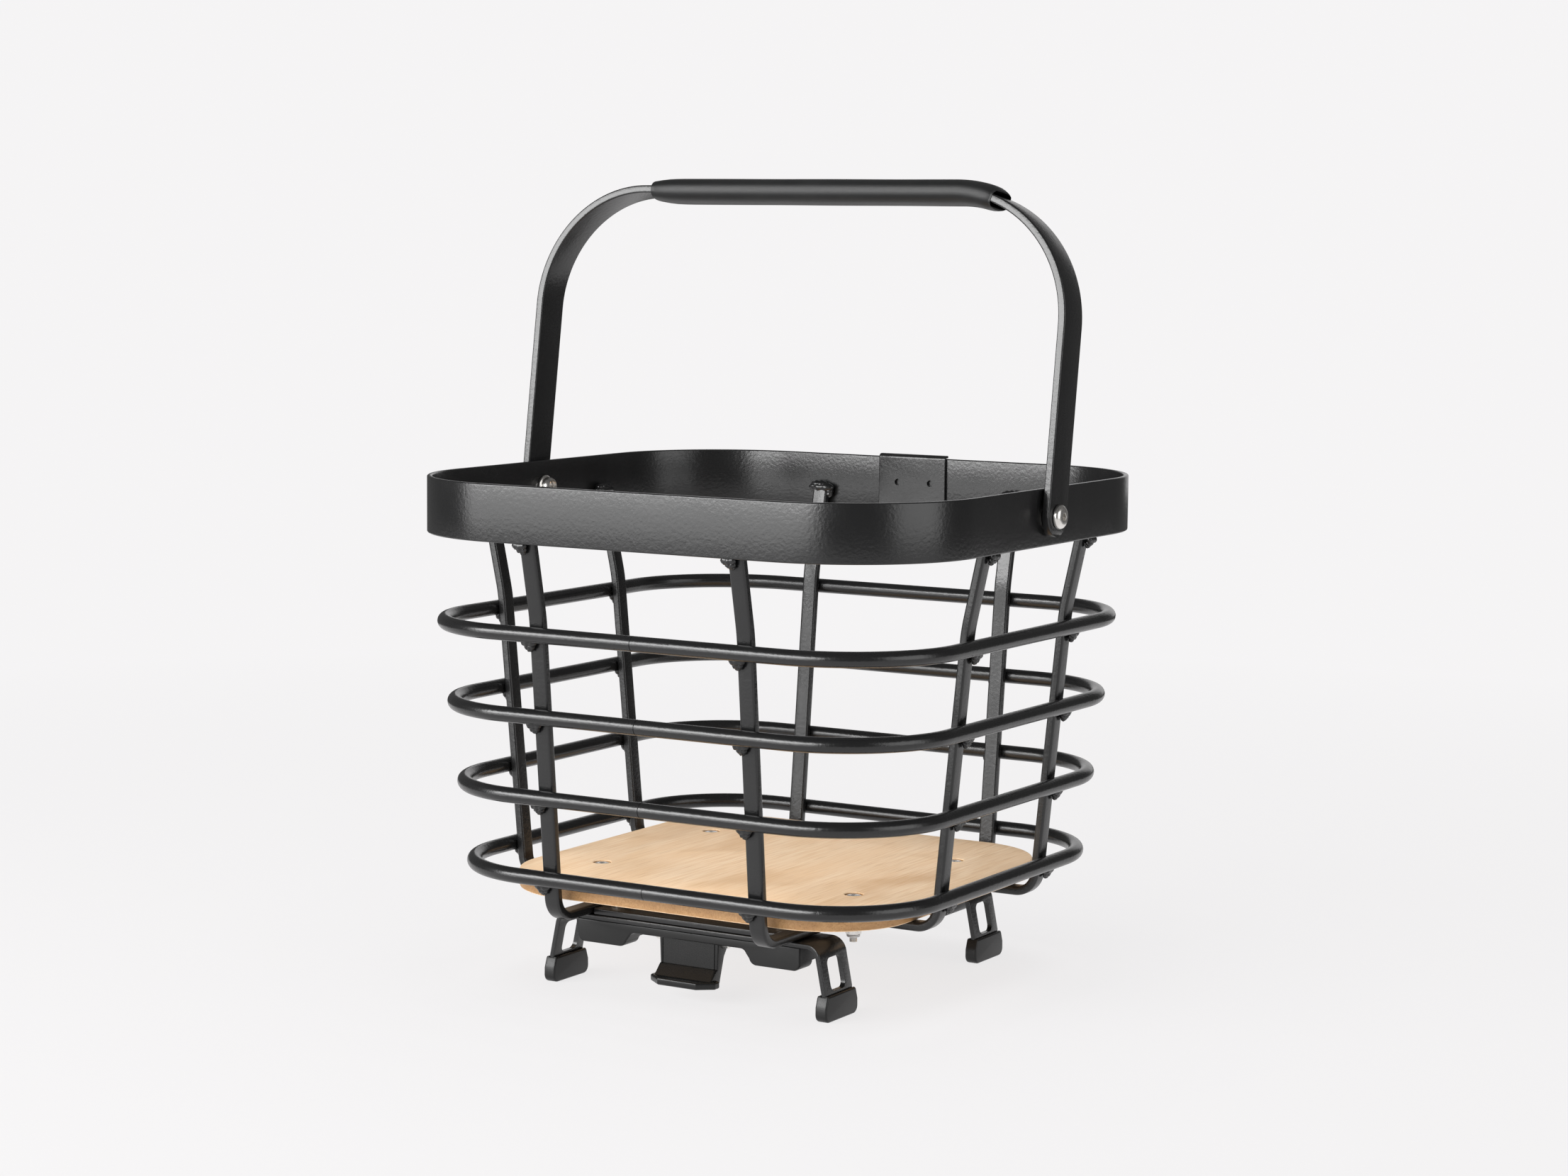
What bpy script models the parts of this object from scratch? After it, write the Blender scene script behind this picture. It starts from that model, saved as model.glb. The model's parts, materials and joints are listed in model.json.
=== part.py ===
"""Rack-mounted shopping basket: steel hoops and U-bars, bamboo floor, swinging handle, sprung rack latch.

Metres, +Z up. X runs across the front, Y from front to back, and the four foot caps stand on Z = 0.
The origin is under the middle of the basket's bounding box.
"""

import math

import bmesh
import bpy
from mathutils import Matrix, Vector

MM = 0.001
GAP = 0.3 * MM

# Top rim: a flat steel band bent into a rounded rectangle.
RIM_HALF = (175 * MM, 170 * MM)
RIM_CORNER = 82 * MM
RIM_BOTTOM = 264.8 * MM
RIM_TOP = 297.8 * MM
RIM_THICK = 3 * MM

# Hoops: four round rods below the rim, each smaller than the one above.
HOOP_COUNT = 4
HOOP_ROD_R = 4.5 * MM
HOOP_TOP_Z = 212.7 * MM
HOOP_PITCH = 47.4 * MM
HOOP_TAPER = 4.58 * MM
HOOP_HALF = (164.0 * MM, 159.0 * MM)
HOOP_CORNER = 69.3 * MM
HOOP_CORNER_STEP = 1.7 * MM

# U-bars: flat bars that run down one side, under the floor and up the other side.
BAR_WIDE = 10 * MM
BAR_THICK = 5.2 * MM
BAR_BEND_R = 12.8 * MM
BAR_KINK_Z = 222 * MM
BAR_END_Z = 275 * MM
SIDE_BAR_X = 69 * MM
CROSS_BAR_Y = 61 * MM
SIDE_BAR_BOTTOM = 43.8 * MM
CROSS_BAR_BOTTOM = SIDE_BAR_BOTTOM + BAR_THICK + GAP

# Bamboo floor board, bolted to the cross bars.
BOARD_HALF = (127 * MM, 124 * MM)
BOARD_CORNER = 52 * MM
BOARD_BOTTOM = CROSS_BAR_BOTTOM + BAR_THICK + GAP
BOARD_TOP = 65.2 * MM
BOARD_EDGE = 0.8 * MM
SCREW_X = 86.5 * MM
SCREW_R = 2.3 * MM
SCREW_HEAD_R = 5 * MM
SCREW_END_Z = 37.5 * MM
COUNTERBORE_R = 5.4 * MM
COUNTERBORE_DEEP = 2.8 * MM
BOARD_WASHER_THICK = 1.6 * MM
BOARD_NUT_TALL = 6.5 * MM

# Leg brackets: steel plates under the side bars, each folded down into two slotted legs.
BRACKET_Y = {"front": -89.5 * MM, "rear": 90 * MM}
BRACKET_WIDE = 30.5 * MM
BRACKET_THICK = 3 * MM
BRACKET_TOP = SIDE_BAR_BOTTOM - GAP
LEG_TOP_X = 88.6 * MM
LEG_FOOT_X = 92.4 * MM
LEG_BEND_R = 8 * MM
LEG_END_Z = 3.3 * MM
SLOT_WIDE = 16 * MM
SLOT_BOTTOM = 16.5 * MM
SLOT_TOP = 35 * MM

# Rubber foot caps.
CAP_SIZE = (7.6 * MM, 36 * MM, 15 * MM)

# Spacer plates that fill between the side bars on top of each bracket.
SPACER_HALF_X = SIDE_BAR_X - BAR_WIDE / 2 - GAP
SPACER_THICK = 3.6 * MM

# Rack adapters: plastic blocks screwed under the brackets.
ADAPTER_HALF_X = 75.5 * MM
ADAPTER_DEEP = 36 * MM
ADAPTER_TOP = BRACKET_TOP - BRACKET_THICK - GAP
ADAPTER_LOW = 26.3 * MM
ADAPTER_WEB = 35 * MM
ADAPTER_FRONT_Y = -102.5 * MM
REAR_HOOK_Y = 73.5 * MM
SHOE_DEEP = 14 * MM
ADAPTER_SCREW_X = 56 * MM
ADAPTER_SCREW_R = 2.2 * MM

# Latch lever: hangs from a pin behind the adapter's front wall.
LATCH_PIVOT = (-94.8 * MM, 34.2 * MM)
LATCH_HALF_X = 20 * MM
LATCH_BARREL_R = 5.2 * MM
LATCH_PIN_R = 2 * MM
LIP_HALF_X = 22 * MM
LIP_FRONT_Y = -113 * MM
LIP_Z = (9.5 * MM, 14 * MM)
POCKET_HALF_X = 7 * MM
SPRING_WIRE_R = 0.45 * MM
SPRING_R = 3 * MM
SPRING_TURNS = 4

# Handle: a flat bow outside the rim, leaning back about the pivot axis.
PIVOT_Z = 281.8 * MM
HANDLE_LEAN = math.radians(8.16)
BOW_HALF = 179 * MM
BOW_HEIGHT = 183.4 * MM
BOW_CORNERS = (71 * MM, 76 * MM)
BOW_WIDE = 23 * MM
BOW_THICK = 4.6 * MM
GRIP_SIZE = (26 * MM, 14.8 * MM)
GRIP_LEFT_X = -103.7 * MM
GRIP_OVER_CORNER = 19.5

# Handle pivots.
PIVOT_HOLE_R = 4.2 * MM
PIVOT_SHANK_R = 3.9 * MM
PIVOT_HEAD_R = 7 * MM
PIVOT_HEAD_H = 3.8 * MM

# Rear clip: a plate inside the back of the rim, with a lip folded over the rim's top.
CLIP_X = (-27.5 * MM, 20.3 * MM)
CLIP_THICK = 1.6 * MM
CLIP_END_Z = 266 * MM
CLIP_LIP_Y = 169.4 * MM
CLIP_BEND_R = 1.8 * MM
CLIP_HOLES_X = (-13.8 * MM, 9.5 * MM)
CLIP_HOLE_R = 2.1 * MM

FINISHES = {
    "coated_steel": ((0.028, 0.029, 0.031), 0.42, 0.35),
    "bamboo": ((0.70, 0.47, 0.27), 0.55, 0.0),
    "bright_steel": ((0.62, 0.61, 0.58), 0.28, 1.0),
    "rubber": ((0.022, 0.022, 0.023), 0.75, 0.0),
    "moulded_plastic": ((0.032, 0.032, 0.034), 0.5, 0.0),
    "grip_foam": ((0.03, 0.03, 0.031), 0.85, 0.0),
}


def clear_scene():
    for obj in list(bpy.data.objects):
        bpy.data.objects.remove(obj, do_unlink=True)


def make_finish(name):
    colour, roughness, metallic = FINISHES[name]
    material = bpy.data.materials.new(name)
    material.use_nodes = True
    shader = material.node_tree.nodes["Principled BSDF"]
    shader.inputs["Base Color"].default_value = (*colour, 1)
    shader.inputs["Roughness"].default_value = roughness
    shader.inputs["Metallic"].default_value = metallic
    return material


def add_object(name, mesh, finish, parent, place=(0, 0, 0)):
    obj = bpy.data.objects.new(name, mesh)
    bpy.context.scene.collection.objects.link(obj)
    obj.data.materials.append(finish)
    obj.parent = parent
    obj.location = place
    return obj


def loft(name, rings, closed=False):
    """A mesh through equal rings of points, capped at both ends or joined end to end."""
    bm = bmesh.new()
    loops = [[bm.verts.new(point) for point in ring] for ring in rings]
    count = len(loops[0])
    pairs = list(zip(loops, loops[1:]))
    if closed:
        pairs.append((loops[-1], loops[0]))
    else:
        bm.faces.new(loops[0])
        bm.faces.new(loops[-1])
    for first, second in pairs:
        for i in range(count):
            j = (i + 1) % count
            bm.faces.new((first[i], first[j], second[j], second[i]))
    bmesh.ops.recalc_face_normals(bm, faces=bm.faces)
    mesh = bpy.data.meshes.new(name)
    bm.to_mesh(mesh)
    bm.free()
    mesh.shade_smooth()
    mesh.set_sharp_from_angle(angle=math.radians(32))
    return mesh


def arc(centre, radius, start, end, steps):
    """Points on a circle in a plane, angles in degrees."""
    turns = [math.radians(start + (end - start) * i / steps) for i in range(steps + 1)]
    return [(centre[0] + radius * math.cos(a), centre[1] + radius * math.sin(a)) for a in turns]


def rounded_rectangle(half, corner, steps=7):
    """Counter-clockwise outline of a rectangle with round corners."""
    x, y = half[0] - corner, half[1] - corner
    points = []
    for i, centre in enumerate(((x, y), (-x, y), (-x, -y), (x, -y))):
        points += arc(centre, corner, 90 * i, 90 * i + 90, steps)
    return points


def bar_section(wide, thick, edge):
    """Outline of a flat bar with its four long edges broken."""
    w, t = wide / 2, thick / 2
    return [(-w + edge, -t), (w - edge, -t), (w, -t + edge), (w, t - edge),
            (w - edge, t), (-w + edge, t), (-w, t - edge), (-w, -t + edge)]


def oval_section(wide, thick, power, steps=16):
    """Outline of a rounded oval: power 1 is an ellipse and a smaller one is squarer."""
    points = []
    for i in range(steps):
        a = 2 * math.pi * (i + 0.5) / steps
        c, s = math.cos(a), math.sin(a)
        points.append((wide / 2 * math.copysign(abs(c) ** power, c),
                       thick / 2 * math.copysign(abs(s) ** power, s)))
    return points


def path_normals(path, closed):
    """Unit normals at a plane path's points, lengthened so that the strip keeps its thickness at bends."""
    normals = []
    last = len(path) - 1
    for i, point in enumerate(path):
        before = path[i - 1] if i or closed else None
        after = path[(i + 1) % len(path)] if i < last or closed else None
        sides = []
        if before:
            sides.append((Vector(point) - Vector(before)).normalized())
        if after:
            sides.append((Vector(after) - Vector(point)).normalized())
        along = sum(sides, Vector((0, 0))).normalized()
        normals.append(Vector((-along.y, along.x)) / along.dot(sides[0]))
    return normals


def swept_rings(path, section, plane, closed=False):
    """Rings of a section carried along a plane path. Section x lies across the plane, y along the normal."""
    rings = []
    for point, normal in zip(path, path_normals(path, closed)):
        ring = []
        for across, out in section:
            a, b = point[0] + normal.x * out, point[1] + normal.y * out
            ring.append({"XZ": (a, across, b), "YZ": (across, a, b), "XY": (a, b, across)}[plane])
        rings.append(ring)
    return rings


def plate(name, outline, low, high, axis, edge=0):
    """An outline extruded from low to high along an axis, with its two rims optionally broken."""
    order = {"Z": lambda p, h: (p[0], p[1], h), "Y": lambda p, h: (p[0], h, p[1]), "X": lambda p, h: (h, p[0], p[1])}
    place = order[axis]
    normals = path_normals(outline, True)
    area = sum(a[0] * b[1] - b[0] * a[1] for a, b in zip(outline, outline[1:] + outline[:1]))
    side = math.copysign(1, area)
    inset = [(p[0] + side * n.x * edge, p[1] + side * n.y * edge) for p, n in zip(outline, normals)]
    if not edge:
        return loft(name, [[place(p, low) for p in outline], [place(p, high) for p in outline]])
    levels = ((inset, low), (outline, low + edge), (outline, high - edge), (inset, high))
    return loft(name, [[place(p, h) for p in points] for points, h in levels])


def turned(name, profile, axis, steps=14):
    """A solid of revolution about an axis, from (distance along, radius) pairs. A ring when closed by a bore."""
    bored = profile[0] == profile[-1]
    stations = profile[:-1] if bored else profile
    rings = []
    for along, radius in stations:
        ring = []
        for i in range(steps):
            a = 2 * math.pi * (i + 0.5) / steps
            c, s = radius * math.cos(a), radius * math.sin(a)
            ring.append({"X": (along, c, s), "Z": (c, s, along)}[axis])
        rings.append(ring)
    return loft(name, rings, closed=bored)


def cut(obj, cutter_mesh):
    """Subtract a mesh given in the object's own space, through a hidden cutter."""
    cutter = bpy.data.objects.new(cutter_mesh.name, cutter_mesh)
    bpy.context.scene.collection.objects.link(cutter)
    cutter.parent = obj
    cutter.hide_render = True
    cutter.display_type = "WIRE"
    modifier = obj.modifiers.new(cutter.name, "BOOLEAN")
    modifier.operation = "DIFFERENCE"
    modifier.object = cutter


def cut_round(obj, name, centre, radius, length, axis, steps=14):
    mesh = turned(name, [(-length / 2, radius), (length / 2, radius)], axis, steps)
    mesh.transform(Matrix.Translation(centre))
    cut(obj, mesh)


def cut_box(obj, name, low, high):
    outline = [(low[0], low[1]), (high[0], low[1]), (high[0], high[1]), (low[0], high[1])]
    cut(obj, plate(name, outline, low[2], high[2], "Z"))


def make_rim(finish, parent):
    middle = (RIM_BOTTOM + RIM_TOP) / 2
    half = tuple(h - RIM_THICK / 2 for h in RIM_HALF)
    path = rounded_rectangle(half, RIM_CORNER - RIM_THICK / 2, 10)
    section = bar_section(RIM_TOP - RIM_BOTTOM, RIM_THICK, 0.6 * MM)
    rings = swept_rings(path, section, "XY", closed=True)
    rim = add_object("rim_band", loft("rim_band", rings, closed=True), finish, parent, (0, 0, middle))
    for side in (-1, 1):
        centre = (side * half[0], 0, PIVOT_Z - middle)
        cut_round(rim, f"rim_pivot_hole_{side}", centre, PIVOT_HOLE_R, 10 * MM, "X")


def hoop_half(index):
    return tuple(h - HOOP_TAPER * index for h in HOOP_HALF)


def make_hoops(finish, parent):
    for i in range(HOOP_COUNT):
        outline = rounded_rectangle(hoop_half(i), HOOP_CORNER - HOOP_CORNER_STEP * i)
        curve = bpy.data.curves.new(f"hoop_{i + 1}", "CURVE")
        curve.dimensions = "3D"
        curve.bevel_depth = HOOP_ROD_R
        curve.bevel_resolution = 2
        spline = curve.splines.new("POLY")
        spline.points.add(len(outline) - 1)
        for point, (x, y) in zip(spline.points, outline):
            point.co = (x, y, 0, 1)
        spline.use_cyclic_u = True
        add_object(f"hoop_{i + 1}", curve, finish, parent, (0, 0, HOOP_TOP_Z - HOOP_PITCH * i))


def bar_path(hoop_reach, rim_reach, bottom):
    """Middle line of a U-bar in its own plane, from one rim end to the other."""
    slope = HOOP_TAPER / HOOP_PITCH
    half = BAR_THICK / 2
    touch = hoop_reach - (HOOP_ROD_R + GAP + half) * math.hypot(1, slope)
    lean = math.degrees(math.atan(slope))
    centre_z = bottom + half + BAR_BEND_R

    def side_at(z):
        return touch + (z - HOOP_TOP_Z) * slope

    bend_x = side_at(centre_z) - BAR_BEND_R * math.hypot(1, slope)
    bend = arc((bend_x, centre_z), BAR_BEND_R, -90, -lean, 7)
    top = rim_reach - RIM_THICK - GAP - half
    right = bend + [(side_at(BAR_KINK_Z), BAR_KINK_Z), (top, BAR_END_Z)]
    return [(-a, b) for a, b in reversed(right)] + right


def make_bars(finish, parent):
    section = bar_section(BAR_WIDE, BAR_THICK, 0.8 * MM)
    fore_aft = bar_path(HOOP_HALF[1], RIM_HALF[1], SIDE_BAR_BOTTOM)
    across = bar_path(HOOP_HALF[0], RIM_HALF[0], CROSS_BAR_BOTTOM)
    for name, x in (("side_bar_left", -SIDE_BAR_X), ("side_bar_right", SIDE_BAR_X)):
        add_object(name, loft(name, swept_rings(fore_aft, section, "YZ")), finish, parent, (x, 0, 0))
    for name, y in (("cross_bar_front", -CROSS_BAR_Y), ("cross_bar_rear", CROSS_BAR_Y)):
        bar = add_object(name, loft(name, swept_rings(across, section, "XZ")), finish, parent, (0, y, 0))
        for side in (-1, 1):
            centre = (side * SCREW_X, 0, CROSS_BAR_BOTTOM + BAR_THICK / 2)
            cut_round(bar, f"{name}_hole_{side}", centre, SCREW_R + GAP, 12 * MM, "Z")


def make_board(finish, parent):
    outline = rounded_rectangle(BOARD_HALF, BOARD_CORNER)
    mesh = plate("floor_board", outline, BOARD_BOTTOM, BOARD_TOP, "Z", BOARD_EDGE)
    board = add_object("floor_board", mesh, finish, parent)
    for i, (x, y) in enumerate(screw_places()):
        cut_round(board, f"board_hole_{i}", (x, y, BOARD_BOTTOM), SCREW_R + GAP, 60 * MM, "Z")
        cut_round(board, f"board_counterbore_{i}", (x, y, BOARD_TOP), COUNTERBORE_R, 2 * COUNTERBORE_DEEP, "Z")


def screw_places():
    return [(x, y) for y in (-CROSS_BAR_Y, CROSS_BAR_Y) for x in (-SCREW_X, SCREW_X)]


def make_board_fasteners(finish, parent):
    head_low = BOARD_TOP - COUNTERBORE_DEEP + GAP
    screw = turned("board_screw", [(SCREW_END_Z, SCREW_R), (head_low, SCREW_R), (head_low, SCREW_HEAD_R),
                                   (head_low + 1.6 * MM, SCREW_HEAD_R), (BOARD_TOP - 0.4 * MM, 3.4 * MM)], "Z")
    bore = SCREW_R + GAP
    top = CROSS_BAR_BOTTOM - GAP
    low = top - BOARD_WASHER_THICK
    washer = turned("board_washer", [(top, bore), (low, bore), (low, 5 * MM), (top, 5 * MM), (top, bore)], "Z")
    top = low - GAP
    low = top - BOARD_NUT_TALL
    bore /= math.cos(math.pi / 6)
    nut = turned("board_nut", [(top, bore), (low, bore), (low, 3.8 * MM), (low + 1.4 * MM, 4.6 * MM),
                               (top, 4.6 * MM), (top, bore)], "Z", 6)
    for i, (x, y) in enumerate(screw_places()):
        add_object(f"board_screw_{i + 1}", screw, finish, parent, (x, y, 0))
        add_object(f"board_washer_{i + 1}", washer, finish, parent, (x, y, 0))
        add_object(f"board_nut_{i + 1}", nut, finish, parent, (x, y, 0))


def bracket_path():
    """Middle line of a leg bracket seen from the front, foot to foot."""
    middle = BRACKET_TOP - BRACKET_THICK / 2
    lean = math.degrees(math.atan2(LEG_FOOT_X - LEG_TOP_X, middle - CAP_SIZE[2]))
    bend = arc((LEG_TOP_X - LEG_BEND_R, middle - LEG_BEND_R), LEG_BEND_R, 90, lean, 6)
    right = bend + [(LEG_FOOT_X, CAP_SIZE[2] + 1 * MM), (LEG_FOOT_X, LEG_END_Z)]
    return [(-a, b) for a, b in reversed(right)] + right


def make_brackets(finish, parent):
    section = bar_section(BRACKET_WIDE, BRACKET_THICK, 0.6 * MM)
    slot_r = SLOT_WIDE / 2 - 0.01 * MM
    middle = (SLOT_BOTTOM + SLOT_TOP) / 2
    slot = [(a, b + middle) for a, b in rounded_rectangle((SLOT_WIDE / 2, SLOT_TOP - middle), slot_r * 0.6, 5)]
    for end, y in BRACKET_Y.items():
        name = f"{end}_bracket"
        bracket = add_object(name, loft(name, swept_rings(bracket_path(), section, "XZ")), finish, parent, (0, y, 0))
        cut(bracket, plate(f"{name}_slots", slot, -0.12, 0.12, "X"))
        for side in (-1, 1):
            centre = (side * ADAPTER_SCREW_X, 0, BRACKET_TOP)
            cut_round(bracket, f"{name}_hole_{side}", centre, ADAPTER_SCREW_R + GAP, 12 * MM, "Z")


def make_foot_caps(finish, parent):
    x, y, z = (s / 2 for s in CAP_SIZE)
    outline = rounded_rectangle((y, z), 5 * MM, 4)
    mesh = plate("foot_cap", outline, -x, x, "X", 1.4 * MM)
    for end, bracket_y in BRACKET_Y.items():
        for name, side in (("left", -1), ("right", 1)):
            place = (side * LEG_FOOT_X, bracket_y, z)
            cap = add_object(f"foot_cap_{end}_{name}", mesh, finish, parent, place)
            half = (BRACKET_THICK / 2 + GAP, BRACKET_WIDE / 2 + GAP)
            low = (-half[0], -half[1], LEG_END_Z - GAP - z)
            cut_box(cap, f"cap_pocket_{end}_{name}", low, (half[0], half[1], 2 * z))


def make_spacers(finish, parent):
    low = SIDE_BAR_BOTTOM
    for end, y in BRACKET_Y.items():
        name = f"{end}_spacer"
        outline = rounded_rectangle((SPACER_HALF_X, BRACKET_WIDE / 2), 2 * MM, 2)
        mesh = plate(name, outline, low, low + SPACER_THICK, "Z", 0.5 * MM)
        spacer = add_object(name, mesh, finish, parent, (0, y, 0))
        for side in (-1, 1):
            centre = (side * ADAPTER_SCREW_X, 0, low)
            cut_round(spacer, f"{name}_hole_{side}", centre, ADAPTER_SCREW_R + GAP, 20 * MM, "Z")


def adapter_outline():
    """Adapter seen from the front: a thin web between two deeper shoes."""
    shoe, step = 44 * MM, 8 * MM
    right = [(shoe - step, ADAPTER_WEB), (shoe - 3 * MM, ADAPTER_WEB - 2 * MM), (shoe + 1 * MM, ADAPTER_LOW + 1 * MM),
             (shoe + 4 * MM, ADAPTER_LOW)]
    right += arc((ADAPTER_HALF_X - 3 * MM, ADAPTER_LOW + 3 * MM), 3 * MM, -90, 0, 4)
    right += [(ADAPTER_HALF_X, ADAPTER_TOP)]
    return right + [(-a, b) for a, b in reversed(right)]


def make_front_adapter(finish, parent):
    back = ADAPTER_FRONT_Y + ADAPTER_DEEP
    mesh = plate("rack_adapter", adapter_outline(), ADAPTER_FRONT_Y, back, "Y", 0.6 * MM)
    adapter = add_object("rack_adapter", mesh, finish, parent)
    side = LATCH_HALF_X + GAP
    wall = LATCH_PIVOT[0] - LATCH_BARREL_R - GAP
    cut_box(adapter, "latch_window", (-side, wall, 0), (side, back - 4 * MM, 60 * MM))
    cut_box(adapter, "shoe_relief", (-80 * MM, ADAPTER_FRONT_Y + SHOE_DEEP, 0),
            (80 * MM, back + 1 * MM, ADAPTER_LOW + 4.5 * MM))
    centre = (0, *LATCH_PIVOT)
    cut_round(adapter, "pin_bore", centre, LATCH_PIN_R + GAP, 2 * (LATCH_HALF_X + 5.3 * MM), "X")
    cut_adapter_screws(adapter, "front")


def make_rear_hook(finish, parent):
    mesh = plate("rear_hook", adapter_outline(), REAR_HOOK_Y, REAR_HOOK_Y + ADAPTER_DEEP - 4 * MM, "Y", 0.6 * MM)
    hook = add_object("rear_hook", mesh, finish, parent)
    cut_adapter_screws(hook, "rear")


def cut_adapter_screws(adapter, end):
    for side in (-1, 1):
        centre = (side * ADAPTER_SCREW_X, BRACKET_Y[end], ADAPTER_TOP)
        cut_round(adapter, f"adapter_hole_{end}_{side}", centre, ADAPTER_SCREW_R + GAP, 16 * MM, "Z")


def make_adapter_screws(finish, parent):
    seat = SIDE_BAR_BOTTOM + SPACER_THICK + GAP
    screw = turned("adapter_screw", [(ADAPTER_TOP - 6 * MM, ADAPTER_SCREW_R), (seat, ADAPTER_SCREW_R),
                                     (seat, 3.9 * MM), (seat + 1.4 * MM, 3.9 * MM), (seat + 2.4 * MM, 2.6 * MM)], "Z")
    for end, y in BRACKET_Y.items():
        for name, side in (("left", -1), ("right", 1)):
            place = (side * ADAPTER_SCREW_X, y, 0)
            add_object(f"adapter_screw_{end}_{name}", screw, finish, parent, place)


def latch_side():
    """Latch lever seen from the side, about its pivot: barrel, front face, round heel and slim back."""
    r = LATCH_BARREL_R
    low = LIP_Z[0] - LATCH_PIVOT[1]
    outline = arc((0, 0), r, 0, 180, 10)
    outline += [(-r, low + 1 * MM)] + arc((-5 * MM, low + 4 * MM), 4 * MM, -75, 0, 6)
    return outline + [(2.2 * MM, -7.5 * MM), (r, -3 * MM)]


def make_latch(finish, parent):
    mesh = plate("latch_lever", latch_side(), -LATCH_HALF_X, LATCH_HALF_X, "X", 0.8 * MM)
    lever = add_object("latch_lever", mesh, finish, parent)
    front = LIP_FRONT_Y - LATCH_PIVOT[0]
    back = -3 * MM
    corner = front + 7 * MM
    lip = [(-13 * MM, front), (13 * MM, front), (LIP_HALF_X, corner), (LIP_HALF_X, back - 2 * MM),
           (LATCH_HALF_X - 1 * MM, back), (1 * MM - LATCH_HALF_X, back), (-LIP_HALF_X, back - 2 * MM),
           (-LIP_HALF_X, corner)]
    low, high = (z - LATCH_PIVOT[1] for z in LIP_Z)
    lip_mesh = plate("finger_lip", lip, low + 0.4 * MM, high, "Z", 1 * MM)
    cut(lever, lip_mesh)
    lever.modifiers["finger_lip"].operation = "UNION"
    cut_round(lever, "lever_bore", (0, 0, 0), LATCH_PIN_R + GAP, 60 * MM, "X")
    reach = LATCH_BARREL_R - 1.1 * MM
    cut_box(lever, "spring_pocket", (-POCKET_HALF_X, -reach, -reach), (POCKET_HALF_X, reach + 4 * MM, 9 * MM))


def make_latch_pin(finish, parent):
    half = LATCH_HALF_X + 4.5 * MM
    mesh = turned("latch_pin", [(-half, LATCH_PIN_R - GAP), (-half + 0.5 * MM, LATCH_PIN_R),
                                (half - 0.5 * MM, LATCH_PIN_R), (half, LATCH_PIN_R - GAP)], "X", 16)
    add_object("latch_pin", mesh, finish, parent, (0, *LATCH_PIVOT))


def make_latch_spring(finish, parent):
    """Torsion spring coiled round the pin, in the lever's pocket."""
    pitch = 2 * SPRING_WIRE_R + 0.5 * MM
    steps = SPRING_TURNS * 12
    curve = bpy.data.curves.new("latch_spring", "CURVE")
    curve.dimensions = "3D"
    curve.bevel_depth = SPRING_WIRE_R
    curve.bevel_resolution = 1
    curve.use_fill_caps = True
    spline = curve.splines.new("POLY")
    spline.points.add(steps)
    for i, point in enumerate(spline.points):
        turn = 2 * math.pi * i / 12
        x = pitch * (i / 12 - SPRING_TURNS / 2)
        point.co = (x, SPRING_R * math.cos(turn), SPRING_R * math.sin(turn), 1)
    add_object("latch_spring", curve, finish, parent, (0, *LATCH_PIVOT))


def bow_path():
    """Middle line of the handle bow above the pivot axis, from left leg to right leg."""
    left, right = BOW_CORNERS
    path = [(-BOW_HALF, 0)] + arc((left - BOW_HALF, BOW_HEIGHT - left), left, 180, 90, 12)
    return path + arc((BOW_HALF - right, BOW_HEIGHT - right), right, 90, 0, 12) + [(BOW_HALF, 0)]


def make_bow(finish, parent):
    section = bar_section(BOW_WIDE, BOW_THICK, 0.7 * MM)
    rings = swept_rings(bow_path(), section, "XZ")
    ends = []
    for a in (80, 60, 40, 20):
        angle = math.radians(a)
        drop, narrow = -BOW_WIDE / 2 * math.sin(angle), math.cos(angle)
        ends.append([(-BOW_HALF - out, across * narrow, drop) for across, out in section])
    rings = ends + rings + [[(-x, y, z) for x, y, z in ring] for ring in reversed(ends)]
    bow = add_object("handle_bow", loft("handle_bow", rings), finish, parent)
    for side in (-1, 1):
        cut_round(bow, f"bow_hole_{side}", (side * BOW_HALF, 0, 0), PIVOT_HOLE_R, 12 * MM, "X")


def make_grip(finish, parent):
    """Soft sleeve round the bow's top, longer on the right where it follows the corner."""
    corner = BOW_CORNERS[1]
    path = [(x, BOW_HEIGHT) for x in (GRIP_LEFT_X, GRIP_LEFT_X / 3, -GRIP_LEFT_X / 3)]
    path += arc((BOW_HALF - corner, BOW_HEIGHT - corner), corner, 90, 90 - GRIP_OVER_CORNER, 5)
    outer = swept_rings(path, oval_section(*GRIP_SIZE, 0.7), "XZ")
    inner = swept_rings(path, oval_section(BOW_WIDE + 1.2 * MM, BOW_THICK + 1.6 * MM, 0.4), "XZ")
    add_object("handle_grip", loft("handle_grip", outer + inner[::-1], closed=True), finish, parent)


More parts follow.
